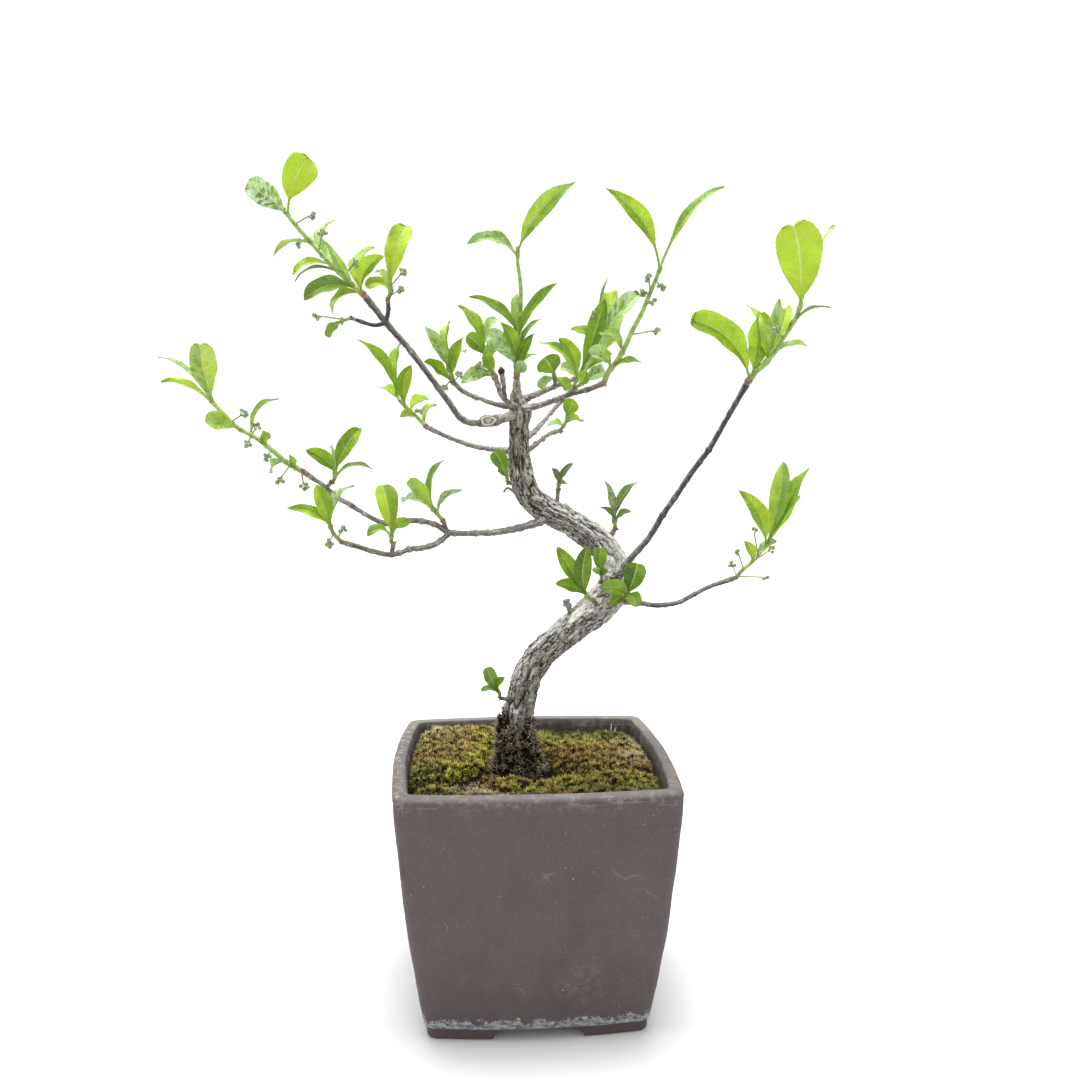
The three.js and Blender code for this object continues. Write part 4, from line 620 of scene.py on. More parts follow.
# %% Roots and twigs
SMOOTH = {"crown", "far_right", "high_left", "high_inner", "high_outer", "low_right"}
PLUM = {"high_left": 0.9, "high_inner": 1, "high_outer": 1, "far_right": 1, "right_tip": 0.6,
        "low_right": 0.6}
STOUT = {"crown", "high_left", "far_right"}
SLIM = 0.86
for number, (name, rows) in enumerate([*(("root", rows) for rows in ROOTS), *TWIGS.items()]):
    young, dead = name in SMOOTH, name == "dead_low"
    plain = name == "root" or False
    path, reached, run = spline(seen(rows), 1.2 if plain else 0.45)
    sides = 8 if plain else 20 if name in STOUT else 14

    # A written place that is thicker than both its neighbours is a knot, which swells only there.
    given = SLIM * np.array([place[3] for place in rows])
    even = given.copy()
    thicker = given[1:-1] - np.maximum(given[:-2], given[2:])
    even[1:-1] -= np.clip(thicker, 0, None) * (thicker > 0.08)
    radius = np.interp(reached, range(len(rows)), even)
    for joint in range(1, len(rows) - 1):
        there = np.interp(joint, reached, run)
        radius = radius + 1.3 * (given - even)[joint] * bell((run - there) / 0.55)
    gap = np.linalg.norm(path[:, None] - trunk_path[None], axis=-1)
    clear = gap.min(1) - trunk_radius[gap.argmin(1)]
    if name != "root" and clear.min() < 0:
        radius = radius * (1 + 0.2 * np.exp(-np.clip(clear, 0, None) / 1.3))

    angle, s = circle(sides)[None], run[:, None]
    x, y = 1.6 * np.cos(angle), 1.6 * np.sin(angle) + 9 * number
    lumps = noise(0.7 * x, 0.7 * y, 0.5 * s)
    cracks = bell(noise(1.1 * x, 1.1 * y, 0.16 * s) / 0.14)
    knobs = 0.14 if young else 0.6 if dead else 0.3
    surface = radius[:, None] * (1 + knobs * lumps + knobs * dead) - 0.1 * cracks
    if dead:
        crumbled = noise(1.2 * x, 1.2 * y, 0.8 * s)
        surface = 0.75 * surface + 1.3 * np.clip(crumbled, 0, 1)
        cracks = np.maximum(cracks, smooth(0.1, -0.3, crumbled))

    # Rings with two buds, where leaves were, at random steps.
    bands = 0 * cracks
    draw = np.random.default_rng(number)
    scars = np.cumsum((6.0 if young else 3.4) * draw.uniform(0.4, 1.6, 40)) + 1
    for scar, size, turned in zip(scars, draw.uniform(0.3, 1.2, 40), draw.uniform(0, 6.3, 40)):
        ring = bell((run - scar) / (0.35 + 0.3 * size))[:, None]
        buds = np.cos(angle - turned) ** 4
        swell = 0.06 + 0.16 * buds if young else size * (0.1 + 0.36 * buds)
        surface = surface + ring * swell * (name != "root")
        bands = np.maximum(bands, ring * size)
        cracks = np.maximum(cracks, size * bell((run - scar - 0.8) / 0.4)[:, None])

    rough = 0 * s
    if name == "far_right":
        rough = smooth(20, 13, s)
        split = rough * bell(noise(1.5 * x, 1.5 * y, 0.7 * s) / 0.2)
        surface = surface + 0.2 * rough - 0.3 * split
        cracks = np.maximum(cracks, 1.5 * split)
    if name == "cut_stub":
        left = run[-1] - s
        surface = surface + 0.35 * smooth(3.6, 1.8, left)
        surface = surface * (1 - 0.75 * smooth(1.4, 0, left))
        cracks = np.maximum(cracks, 1.6 * smooth(3.4, 2.2, left))
    base = np.exp(-np.clip(clear, 0, None) / (16 if name == "high_left" else 6))[:, None]
    wood.append(limb(
        path, surface, sides, crack=0.7 * cracks, pale=(0.12 if young else 0.28) * bands,
        young=np.minimum(1 - 0.6 * base, 1 - 0.5 * rough), bark_x=x, bark_y=y, bark_z=s,
        plum=PLUM.get(name, 0.15) * (1 - base) * (1 - 0.7 * rough)))

# %% A dead hook and the scar of a cut branch
NO_LIMB = {"bark_x": 0, "bark_y": 0, "bark_z": 0}
path, reached, _ = spline(seen([(-5, 192.6, -2), (-7.4, 194.8, -3), (-9.2, 195.6, -3),
                                (-10.6, 194, -3)]), 0.4)
radius = np.interp(reached, [0, 3], [0.6, 0.35])
wood.append(limb(path, radius, 8, crack=0.3, young=1, plum=0.6, pale=0, **NO_LIMB))

# The scar is an oval ring of callus round a pale, sunken middle. Its profile is how far out, how
# high, how pale and how deep in a crack.
PROFILE = [(0.02, 0.1, 0.8, 0.1), (0.45, 0.12, 0.8, 0.3), (0.7, 0.3, 0.1, 1.3), (0.9, 0.75, 1, 0),
           (1.15, 0.75, 1, 0), (1.35, 0.35, 0, 1.3), (1.4, -0.6, 0, 1.3)]
turn = circle(28)
rings = []
for reach, rise, _, _ in PROFILE:
    wobble = 1 + 0.08 * np.sin(3 * turn + reach) + 0.05 * np.sin(5 * turn)
    ring = np.stack([2.3 * reach * np.cos(turn), 0 * turn - 1.2 * rise, 1.45 * reach * np.sin(turn)], 1)
    rings.append(ring * wobble[:, None])
spot, faces = close_rings(np.array(rings), rings[0].mean(0), rings[-1].mean(0), flip=True)
_, _, pale, deep = np.repeat(np.array(PROFILE), len(turn), axis=0).T
wood.append(Shape().add(
    spot + seen([(-16.3, 221, -11.2)])[0], faces, pale=np.append(pale, [0.8, 0]), young=0.8,
    crack=np.append(deep, [0.1, 1]), bark_x=spot[:, 0], bark_y=spot[:, 2], bark_z=spot[:, 1]))
print(len(wood), "limbs")

# %% [markdown]
# ## Materials
#
# Colours are written as they look in the photograph, 0 to 255 for red, green and blue, and `rgb`
# turns them into light. `node` adds one shader node to `tree`, the node tree in work, and returns
# what comes out of it as a `Value`. Values can be added, subtracted and multiplied, and `layers`
# paints one colour over the other.

# %% Short ways to write a material
def rgb(red, green, blue):
    share = np.array([red, green, blue]) / 255
    light = np.where(share <= 0.04045, share / 12.92, ((share + 0.055) / 1.055) ** 2.4)
    return (*light.tolist(), 1.0)


class Value:
    """What comes out of a node. Sums, differences and products of values are nodes too."""

    def __init__(self, socket):
        self.socket = socket

    def __add__(self, other):
        return maths("ADD", self, other)

    def __sub__(self, other):
        return maths("SUBTRACT", self, other)

    def __rsub__(self, other):
        return maths("SUBTRACT", other, self)

    def __mul__(self, other):
        return maths("MULTIPLY", self, other)

    def __abs__(self):
        return maths("ABSOLUTE", self)


def node(kind, inputs=None, out=0, **settings):
    """Adds a node and returns one of its outputs, or a dictionary of all when out is None."""
    made = tree.nodes.new(kind)
    for key, value in settings.items():
        setattr(made, key, value)
    for key, value in (inputs or {}).items():
        if isinstance(value, Value):
            tree.links.new(value.socket, made.inputs[key])
        else:
            made.inputs[key].default_value = value
    if out is None:
        return {output.name: Value(output) for output in made.outputs}
    return Value(made.outputs[out])


def maths(operation, *values):
    return node("ShaderNodeMath", dict(enumerate(values)), operation=operation)


def mix(share, first, second):
    first, second = (rgb(*color) if isinstance(color, tuple) else color for color in (first, second))
    return node("ShaderNodeMix", {0: share, 6: first, 7: second}, 2, data_type="RGBA")


def layers(color, *coats):
    """Paints coats over a colour, one after the other, each [how strongly, its colour]."""
    for share, coat in coats:
        color = mix(share, color, coat)
    return color


def ramp(value, low, high, to_low=0.0, to_high=1.0):
    """Changes softly from one number to another while the value goes from low to high."""
    inputs = {"Value": value, "From Min": low, "From Max": high, "To Min": to_low, "To Max": to_high}
    return node("ShaderNodeMapRange", inputs, "Result", interpolation_type="SMOOTHSTEP")


def mark(name):
    return node("ShaderNodeAttribute", out="Fac", attribute_name=name)


def axes(vector):
    """The x, y and z of a vector."""
    return node("ShaderNodeSeparateXYZ", {0: vector}, None).values()


def facing_up():
    """How far the surface faces up: 1 is up, 0 is to a side and -1 is down."""
    return [*axes(node("ShaderNodeNewGeometry", out="Normal"))][2]


def spots(place, size, detail=3.0, rough=0.55, stretch=None):
    """Noise whose hills are about the given size, in millimetres."""
    if stretch:
        place = node("ShaderNodeMapping", {"Vector": place, "Scale": stretch})
    inputs = {"Vector": place, "Scale": 1 / (size * MM), "Detail": detail, "Roughness": rough}
    return node("ShaderNodeTexNoise", inputs, "Fac")


def material(name):
    """A new material, whose tree is now the one in work, and the place on the object."""
    global tree
    made = bpy.data.materials.new(name)
    made.use_nodes = True
    tree = made.node_tree
    tree.nodes.clear()
    return made, node("ShaderNodeTexCoord", out="Object")


def open_group(name, kind, inputs, outputs):
    """Makes a node group with named sockets the tree in work, and gives its inputs."""
    global tree
    tree = bpy.data.node_groups.new(name, kind)
    for way, sockets in (("INPUT", inputs), ("OUTPUT", outputs)):
        for title, holds in sockets.items():
            tree.interface.new_socket(title, in_out=way, socket_type="NodeSocket" + holds)
    return node("NodeGroupInput", out=None)


def finish_material(color, roughness, height=None, depth=0.2, through=None, amount=0.0, **more):
    """Ends a material: a surface, its bumps of the given depth in millimetres, and the light that
    comes through it."""
    surface = {"Base Color": color, "Roughness": roughness, **more}
    if height is not None:
        bumps = {"Height": height, "Distance": depth * MM, "Strength": 1.0}
        surface["Normal"] = node("ShaderNodeBump", bumps)
    shader = node("ShaderNodeBsdfPrincipled", surface)
    if through is not None:
        glow = node("ShaderNodeBsdfTranslucent", {"Color": through})
        shader = node("ShaderNodeMixShader", {0: amount, 1: shader, 2: glow})
    node("ShaderNodeOutputMaterial", {"Surface": shader}, None)


DULL_SHINE = {"Specular IOR Level": 0.15}
OWN_SCALE = 1 / MM

# %% Bark
bark, place = material("bark")
straight_limb = node("ShaderNodeCombineXYZ", {axis: mark("bark_" + axis.lower()) for axis in "XYZ"})


def along_limb(size, longer, detail, rough):
    """Noise whose hills are drawn out along the limb."""
    stretch = (1 / size, 1 / size, 1 / (size * longer))
    return spots(straight_limb, OWN_SCALE, detail, rough, stretch)


young, crack, patches = mark("young"), mark("crack"), spots(place, 6, 4)
x, _, z = axes(place)
height = z * 1000
lit = facing_up()

# Above the bend the bark is more olive, with fewer fine cracks.
olive = ramp(height, 184, 200, 0.0, 0.6)
calmer = ramp(height, 184, 200, 0.75, 0.3)
plates = along_limb(2.6, 3.2, 5, 0.68)
fissure = ramp(abs(plates - 0.5), 0.032, 0.012)
finer = ramp(abs(along_limb(1.3, 2.6, 4, 0.7) - 0.5), 0.03, 0.006)
fissure = maths("MAXIMUM", fissure, finer * calmer)
thin = ramp(along_limb(0.9, 4.0, 4, 0.7), 0.42, 0.32) * (calmer + 0.2)
grain = along_limb(0.42, 1.8, 3, 0.7)

# The upper side of the bend, and its right side, is painted near white, a painted highlight where the
# light from above falls, and the cracks fade in it.
facing = maths("MAXIMUM", ramp(lit, 0.0, 0.65, 0.0, 0.9), ramp(x, 35 * MM, 46 * MM, 0.0, 0.75))
bend = ramp(height, 136, 150) * ramp(height, 192, 180) * facing * ramp(young, 0.3, 0.4, 1.0, 0.0)
thin = thin * (0.75 - bend * 0.6)
line = fissure * ramp(young, 0.0, 1.0, 0.92, 0.3) * (1.0 - bend * 0.7)
sunk = ramp(crack, 0.45, 1.05, 0.0, 0.92) - bend * ramp(crack, 0.45, 1.05, 0.0, 0.6)

# Old bark that faces up gets a painted highlight, and bark that faces down gets a painted shade.
lit = ramp(lit, -0.5, 0.8)
old = layers(
    mix(ramp(patches, 0.3, 0.7), (194, 189, 175), (240, 236, 225)),
    (ramp(plates, 0.44, 0.58, 0, 0.75), (244, 242, 234)),
    (bend, (248, 248, 240)),
    (olive, mix(ramp(patches, 0.35, 0.65), (138, 130, 110), (196, 190, 172))),
    (ramp(lit, 0.0, 0.9, 0.46, 0.0), (84, 78, 64)),
    (ramp(lit, 0.3, 1.0, 0.0, 0.5), (244, 242, 234)),
)
# Young, smooth bark gets a painted highlight on its upper side.
smooth_bark = layers(
    mix(ramp(patches, 0.35, 0.7), (132, 128, 118), (178, 174, 163)),
    (mark("plum"), (88, 83, 86)),
    (ramp(lit, 0.3, 1.0, 0.0, 0.4), (200, 196, 190)),
)
# The last coat is painted shade: below the bend, towards its foot, the trunk is painted darker.
color = layers(
    mix(young, old, smooth_bark),
    (ramp(grain, 0.5, 0.36, 0.0, 0.45), (78, 71, 56)),
    (thin, (58, 50, 36)),
    (line, (34, 28, 18)),
    (sunk, mix(olive, (36, 30, 20), (58, 50, 32))),
    (mark("pale"), (224, 218, 208)),
    (ramp(height + grain * 22, 124, 105) * 0.75, (58, 48, 34)),
)
relief = grain + patches * 0.5 - fissure * 0.7 - thin * 0.4
finish_material(color, 0.85, relief, 0.4, **DULL_SHINE)

# %% One skin for all the wood
def unite(name, shapes, *materials):
    """One closed skin round closed shapes that run into each other."""
    whole, *rest = (shape.build(f"{name}_{n}", *materials) for n, shape in enumerate(shapes))
    group = bpy.data.collections.new(name)
    bpy.context.scene.collection.children.link(group)
    for part in rest:
        group.objects.link(part)
    union = whole.modifiers.new("union", "BOOLEAN")
    union.operation, union.solver = "UNION", "MANIFOLD"
    union.operand_type, union.collection = "COLLECTION", group
    settle(whole)
    for part in rest:
        bpy.data.objects.remove(part)
    bpy.data.collections.remove(group)
    whole.name = whole.data.name = name
    return whole


hand_over(unite("tree_bark", wood, bark), "bark", "tree_wood")

# %% [markdown]
# ## Leaves
#
# A leaf is a closed sheet: rows of corners from its stalk to its tip, once for the upper face and
# once for the lower one. It is folded along the midrib, arched, a little twisted and wavy, and its
# margin has small teeth. Each corner knows where on the blade it lies, `across` from -1 to 1 and
# `along` from 0 to 1, and the material draws the veins from that.

# %% Leaf materials
def vein_pattern():
    """How strongly a place on the blade is a vein or part of the fine net between the veins, and
    a flow that runs along the side veins."""
    entry = open_group("leaf veins", "ShaderNodeTree", {"Across": "Float", "Along": "Float"},
                       {"Veins": "Float", "Net": "Float", "Flow": "Vector"})
    across, along = entry["Across"], entry["Along"]
    out = abs(across)
    slant = along * 8.5 - maths("POWER", out, 1.3) * 0.9
    side = ramp(abs(maths("FRACT", slant) - 0.5), 0.07, 0.0) * ramp(out, 1.0, 0.7)
    veins = maths("MAXIMUM", ramp(out, 0.1, 0.03), side * 0.6)
    cells = node("ShaderNodeCombineXYZ", {"X": across * 4.5, "Y": along * 21})
    cells = {"Vector": cells, "Scale": 1.0}
    net = node("ShaderNodeTexVoronoi", cells, "Distance", feature="DISTANCE_TO_EDGE")
    flow = node("ShaderNodeCombineXYZ", {"X": across, "Y": slant})
    node("NodeGroupOutput", {0: veins, 1: ramp(net, 0.12, 0.0), 2: flow}, None)
    return tree


vein_group = vein_pattern()
blade_skin, place = material("leaf blade")
across, tint, dull = mark("across"), mark("tint"), mark("dull")
drawn = {"Across": across, "Along": mark("along")}
drawn = node("ShaderNodeGroup", drawn, None, node_tree=vein_group)
veins, net, sheen = drawn["Veins"], drawn["Net"], spots(drawn["Flow"], OWN_SCALE, 4, 0.6)
clouds = spots(place, 5, 3)
tone = tint + (clouds - 0.5)
# The pale streaks along the side veins of some leaves are a painted sheen, a reflection painted on the
# blade.
color = layers(
    mix(ramp(tone, -0.1, 0.55), (44, 82, 8), (128, 166, 16)),
    (ramp(tone, 0.5, 1.0), (196, 220, 50)),
    (mark("under") * 0.45, (168, 196, 122)),
    (dull, (120, 134, 114)),
    (mark("pale") * ramp(sheen, 0.42, 0.54, 0.08, 1.0), (218, 236, 212)),
    (veins * 0.7, (220, 234, 164)),
    (net * 0.24, (204, 222, 124)),
    (ramp(abs(across), 0.93, 1.0) * 0.3, (190, 214, 110)),
)
through = mix(0.55 - dull * 0.5, color, (196, 226, 26))
finish_material(color, 0.4, clouds * 0.8 - veins - net * 0.35, 0.2, through, 0.4)

green_stem, place = material("green stem")
streaks = spots(place, 3, 2)
color = layers(
    mix(ramp(streaks, 0.35, 0.65), (104, 130, 52), (150, 176, 84)),
    (mark("plum"), (126, 106, 112)),
    (mark("old"), (118, 98, 80)),
)
finish_material(color, 0.5, streaks, 0.08)

bead_skin, place = material("flower bud")
finish_material(mix(ramp(spots(place, 0.8, 2), 0.3, 0.7), (96, 112, 82), (150, 168, 112)), 0.5)

scale_skin, place = material("bud scale")
flecks = ramp(spots(place, 0.9, 3), 0.35, 0.65)
brown, red = mix(flecks, (84, 70, 50), (138, 120, 92)), mix(flecks, (104, 52, 42), (170, 104, 84))
finish_material(mix(mark("tint"), brown, red), 0.6)
LEAFY = (blade_skin, green_stem, bead_skin, scale_skin)
BLADE, STEM, BEAD, SCALE = range(4)

# %% A blade
ACROSS = np.array([-1, -0.9, -0.62, -0.34, -0.12, 0, 0.12, 0.34, 0.62, 0.9, 1])


def blade(root, along, face, length, width, fold, bulge, dice, petiole=0.1, thickness=0.34,
          notch=0, plump=0):
    """A leaf that starts at root, ends along it and turns its upper side to face. Between its ends
    the midrib swings out by bulge."""
    plump = plump or width / length
    blunt = plump > 0.45
    rise, fall = (0.85, 0.42) if blunt else (1.0, 0.75) if plump > 0.36 else (0.95, 1.05)
    t = np.linspace(0, 1, pick(int(np.clip(2 * round(length / 1.5), 10, 30))) + 1)
    if blunt:
        t = np.append(t[:-1], [0.965, 0.988])
    u = pick(ACROSS)[None]

    # Half the width at each step, with the stalk and small teeth.
    v = np.clip((t - petiole) / (1 - petiole), 0, 1)
    peak = rise / (rise + fall)
    half = width / 2 * v**rise * (1 - v) ** fall / (peak**rise * (1 - peak) ** fall)
    stalk = 1 - smooth(petiole, petiole + 0.22, t)
    half = np.sqrt(half**2 + (0.4 * stalk + 0.05) ** 2)
    teeth = np.where(np.arange(len(t)) % 2, 1, -1) * smooth(petiole + 0.15, 0.35, t)
    teeth = teeth * (1 - smooth(0.9, 0.97, t)) * (0.0 if length < 9 else 0.006 * width)

    # The midrib, and the directions from it.
    path = root + along * (length * t)[:, None] + bulge * (4 * t * (1 - t))[:, None]
    path = path - face * (0.03 * length * (0.5 + dice[1]) * smooth(0.72, 1, t) ** 2)[:, None]
    forward = unit(np.gradient(path, axis=0))[:, None]
    side = unit(np.cross(forward, face))
    upward = np.cross(side, forward)

    # The fold, the wavy margin and the notch of the tip.
    t, half, stalk, teeth = (values[:, None] for values in (t, half, stalk, teeth))
    reach = half + teeth * abs(u) ** 8
    lift = math.radians(fold)
    bow = (np.sqrt(u**2 + 0.03) - 0.03**0.5) / (1.03**0.5 - 0.03**0.5)
    wave = np.sin(2 * math.pi * (2.1 * t + dice[0]) + (1.5 + dice[3]) * np.sign(u))
    calm = smooth(0.15, 0.5, t) * (1 - 0.9 * blunt * smooth(0.8, 1, t))
    height = reach * bow * math.sin(lift) + 0.08 * width * u**2 * wave * calm
    out = -notch * length * bell(u / 0.28) * smooth(0.9, 1, t)
    twist = 0.5 * (dice[2] - 0.5) * t**2
    across = u * reach * math.cos(lift)
    thick = (thickness + 0.4 * stalk) * (1 - 0.72 * u**2)
    rib = 0.24 * bell(u / 0.12) * (1 - 0.8 * t) * (length > 9)
    faces = []
    for edge in (thick / 2 - 0.35 * rib * (1 - stalk), -thick / 2 - rib):
        up = height + edge
        right = across * np.cos(twist) - up * np.sin(twist)
        top = across * np.sin(twist) + up * np.cos(twist)
        places = path[:, None] + forward * out[..., None] + side * right[..., None]
        faces.append(places + upward * top[..., None])
    blank = 0 * across
    marks = {
        "across": np.tile((u + blank).reshape(-1), 2),
        "along": np.tile((t + blank).reshape(-1), 2),
        "under": np.repeat([0.0, 1.0], blank.size),
    }
    return *sheet(*faces), marks


# %% A shoot
def grow_shoot(seed, name, thickness, stem, leaves, buds):
    """One green shoot, from just inside its twig to the tips of its leaves."""
    shape = Shape()
    random = np.random.default_rng(100 + seed)
    twig = spline(seen(TWIGS[GROWS_ON.get(name, name)]), 0.25)[0]
    end, onward = twig[-1], unit(twig[-1] - twig[-2])
    path, _, run = spline([end + 0.35 * onward, end + 1.35 * onward, *seen(stem)], 0.5)
    share = run / run[-1]

    def at(where):
        return np.array([np.interp(where, share, axis) for axis in path.T])

    def trait(kind, order, usual):
        rows = TRAITS[name].get(kind, {})
        return rows.get(order, rows.get(ALL, usual))

    # The four-angled stem swells where leaves leave it and is brown at its foot.
    radius = thickness[0] + (thickness[1] - thickness[0]) * share
    for joint in {leaf[0] for leaf in leaves}:
        radius = radius + 0.22 * bell((run - joint * run[-1]) / 0.7)
    squared = np.append(radius[0], radius)[:, None] * (0.92 + 0.1 * np.cos(4 * circle(12)))
    from_foot = np.append(0, run)[:, None]
    old = np.exp(-from_foot / 1.6) + 0.3 * np.exp(-from_foot / 9)
    old = np.append(np.repeat(old, 12), [old[0, 0], old[-1, 0]])
    shape.add(*tube(np.vstack([end - 0.6 * onward, path]), squared, 12), STEM, old=old)
    shape.add(*ball(path[-1], (0.75, 0.75, 1.5), 8, 6), STEM, tint=0.5)

    for order, (where, x, z, y, width, turn, fold) in enumerate(leaves):
        root = at(where)
        along = seen([(x, z, y)])[0] - root
        length = np.linalg.norm(along)
        along = along / length
        face = unit(EYE - root - along * ((EYE - root) @ along))
        side, turn = np.cross(along, face), math.radians(turn)
        face = face * math.cos(turn) + side * math.sin(turn)
        stem_way = unit(at(min(1, where + 0.02)) - at(max(0, where - 0.02)))
        bulge = face * length * (0.05 + 0.03 * math.sin(1.7 * order))
        bulge = bulge + 0.13 * length * (stem_way - along * (stem_way @ along))
        dice = random.random(5)
        corners, faces, marks = blade(
            root, along, face, length, width * trait("narrow", order, 1), min(1.4 * fold, 36), bulge,
            dice, trait("stalk", order, 0.11), notch=trait("notch", order, 0),
            plump=trait("plump", order, 0))
        # The tint is the leaf's green and also painted light: the bright trait partly stands in for
        # light shining through a leaf, and one half of the fold is painted lighter and the other
        # darker.
        tint = TRAITS[name]["tone"] + 0.4 * (dice[4] - 0.5) + 0.1 * where + trait("bright", order, 0)
        lit_half = 0.13 if dice[0] > 0.5 else -0.13
        tint = tint + lit_half * np.sign(marks["across"])
        dull = trait("dull", order, 0) * (0.4 + 0.6 * marks["along"])
        pale = trait("pale", order, 0.6 * (dice[3] > 0.65))
        shape.add(corners, faces, BLADE, tint=tint, dull=dull, pale=pale, **marks)

    # A flower bud's stalk forks into four, each with a bead.
    for where, *place in buds:
        root, bead = at(where), seen([place])[0]
        along = unit(bead - root)
        length = np.linalg.norm(bead - root)
        fork = root + along * max(length - 2.6, 0.4 * length)
        shape.add(*tube(spline([root, (root + fork) / 2, fork], 1.0)[0], 0.27, 6), STEM, plum=0.5)
        aside = unit(np.cross(along, [0, 1, 0]) + 0.1)
        above = np.cross(along, aside)
        for k in range(4):
            turn = k * 2.1 + 6.28 * random.random()
            spread = 0.75 + 0.3 * random.random() if k else 0.0
            away = along + spread * (aside * math.cos(turn) + above * math.sin(turn))
            reach = (1.5 + 0.8 * random.random() if k else 2.6) * min(1, length / 5)
            head = fork + unit(away) * reach
            shape.add(*tube(np.linspace(fork - along * 0.2, head, 3), 0.19, 5), STEM, plum=0.4)
            shape.add(*ball(head, 0.6 + 0.25 * random.random() if k else 0.9), BEAD)

    # Six scales sit round the end of the twig.
    aside = unit(np.cross(onward, [0.2, 1, 0.1]))
    above = np.cross(onward, aside)
    for k in range(6):
        turn = k * math.pi / 2 + 0.4 * random.random() + (k // 4) * 0.8
        out = aside * math.cos(turn) + above * math.sin(turn)
        base = end + onward * (0.1 + 0.45 * (k // 2)) + out * thickness[0] * 0.75
        lean = unit(onward * (1.4 - 0.25 * random.random()) + out * (0.2 + 0.6 * random.random()))
        upper = unit(onward * 0.6 - out)
        upper = unit(upper - lean * (upper @ lean))
        dice = random.random(5)
        size = 1.2 + 0.6 * random.random()
        corners, faces, _ = blade(base, lean, upper, size, 1.15, 25, 0.1 * upper, dice, 0.0, 0.25)
        shape.add(corners, faces, SCALE, tint=0.9 if name == "high_left" else 0.15)
    return shape.build("leafy_" + name, *LEAFY)


for seed, (name, parts) in enumerate(SHOOTS.items()):
    hand_over(grow_shoot(seed, name, *parts), "leaf", "shoot_" + name)

# %% [markdown]
# ## The pot
#
# The pot's outline is four bowed sides that meet in rounded corners. Stacking that outline from the
# foot over the rim and down the inside gives one closed body. The feet are a low ring that is cut
# away in the middle of each side. The clay is uneven by a few tenths of a millimetre.

# %% Sizes of the pot, as in the frame
POT_HEIGHT = pot_high.z / MM
FOOT_HEIGHT = 4.2
FLOOR_TOP = 10.7
SOIL_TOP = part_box("soil")[1].z / MM
WALL = 5.4
SIDE_BOW = 2.3
RIM_HALF = (pot_high.x - pot_low.x) / 2 / MM - SIDE_BOW
BASE_HALF = 41.35
EDGE = 1.2
LIP = 2.2
print("rim", round(2 * (RIM_HALF + SIDE_BOW), 1), "mm wide, pot", round(POT_HEIGHT, 1), "mm high")


def half_at(height):
    """Half the pot's width from corner to corner at a height: a little fuller half way up."""
    up = (height - FOOT_HEIGHT) / (POT_HEIGHT - FOOT_HEIGHT)
    return BASE_HALF + (RIM_HALF - BASE_HALF) * up + 5.4 * up * (1 - up)


def curve(first, pull, last, steps):
    """A curve from the first place towards the last that is pulled to a third one."""
    t = np.linspace(0, 1, steps, endpoint=False)[:, None]
    return (1 - t) ** 2 * first + 2 * t * (1 - t) * pull + t**2 * last


def stack(levels, uneven=0.0):
    """A closed body from outlines, each [height, half width, corner radius], in order. An outline is
    a bowed side and a rounded corner, four times."""
    rings = []
    for height, half, radius in levels:
        near = half - radius
        side = curve([-near, -half], [0, -half - 2 * SIDE_BOW], [near, -half], 16)
        quarters = [np.vstack([side, curve([near, -half], [half, -half], [half, -near], 8)])]
        for _ in range(3):
            x, y = quarters[-1].T
            quarters.append(np.stack([-y, x], 1))
        plan = np.vstack(quarters)
        rings.append(np.column_stack([plan, np.full(len(plan), height)]))
    rings = np.array(rings)
    x, y, z = np.moveaxis(rings, -1, 0)
    away = noise(x / 22, y / 22, z / 16) + 0.4 * noise(x / 5, y / 5, z / 2)
    rings[..., :2] *= 1 + (uneven * (away - 1) / 45)[..., None]
    return close_rings(rings, [0, 0, levels[0][0]], [0, 0, levels[-1][0]])


def bar(plan, reach, turned=False):
    """A bar with four corners, in x and z, that runs along y or, turned, along x."""
    corners = [(x, y, z) for y in (-reach, reach) for x, z in plan]
    if turned:
        corners = [(-y, x, z) for x, y, z in corners]
    sides = [(k + 4, (k + 1) % 4 + 4, (k + 1) % 4, k) for k in range(4)]
    return corners, [(0, 1, 2, 3), (7, 6, 5, 4), *sides]


def combine(whole, other, operation):
    """Adds one closed object to another, or cuts it away."""
    step = whole.modifiers.new(operation, "BOOLEAN")
    step.operation, step.solver, step.object = operation, "MANIFOLD", other
    settle(whole)
    bpy.data.objects.remove(other)


def cut(whole, corners, faces):
    """Cuts a closed shape out of an object."""
    combine(whole, Shape().add(corners, faces).build("cut", clay, inside=False), "DIFFERENCE")


# %% The clay
clay, place = material("clay")
centred = node("ShaderNodeMapping", {"Vector": place, "Location": (-MIDDLE * MM).tolist()})
x_mm, y_mm, rise = (axis * 1000 for axis in axes(centred))
mottle, ragged = spots(place, 14, 5, 0.6), spots(place, 3.2, 5, 0.72)
brushed = spots(place, 5, 4, 0.6, stretch=(1, 1, 0.12))
drawn = spots(place, 1.2, 3, 0.6, stretch=(0.12, 0.12, 1))
grain = spots(place, 0.45, 3, 0.7)

# The walls inside, a painted highlight on the upward face of the rim, stronger at the back, and worn
# streaks and scuffs under it.
inner = ramp(maths("MAXIMUM", abs(x_mm), abs(y_mm)), 48.6, 47.4) * ramp(rise, 60, 66)
rim = ramp(rise, 89.5, 92.4) * ramp(facing_up(), -0.2, 0.8) * ramp(y_mm, 25, 46, 0.4, 0.8)
streak = ramp(drawn, 0.52, 0.68) * ramp(rise, 86, 91)
scuffed = ramp(ragged, 0.5, 0.66) * ramp(rise, 85.5, 92) * ramp(x_mm, -44, -52, 0.2, 0.75)

# Lime has dried in a ragged band just above the feet.
below = (ragged - 0.42) * 15 + 6.3 - rise
wisps = spots(place, 1.3, 5, 0.78, stretch=(0.45, 0.45, 1))
lime = ramp(below, -1.0, 1.0) * ramp(below, 0.8, 3.2, 1.0, 0.6) * ramp(rise, 3.6, 4.6)
lime = lime * ramp(wisps, 0.38, 0.6, 0.1, 0.95)

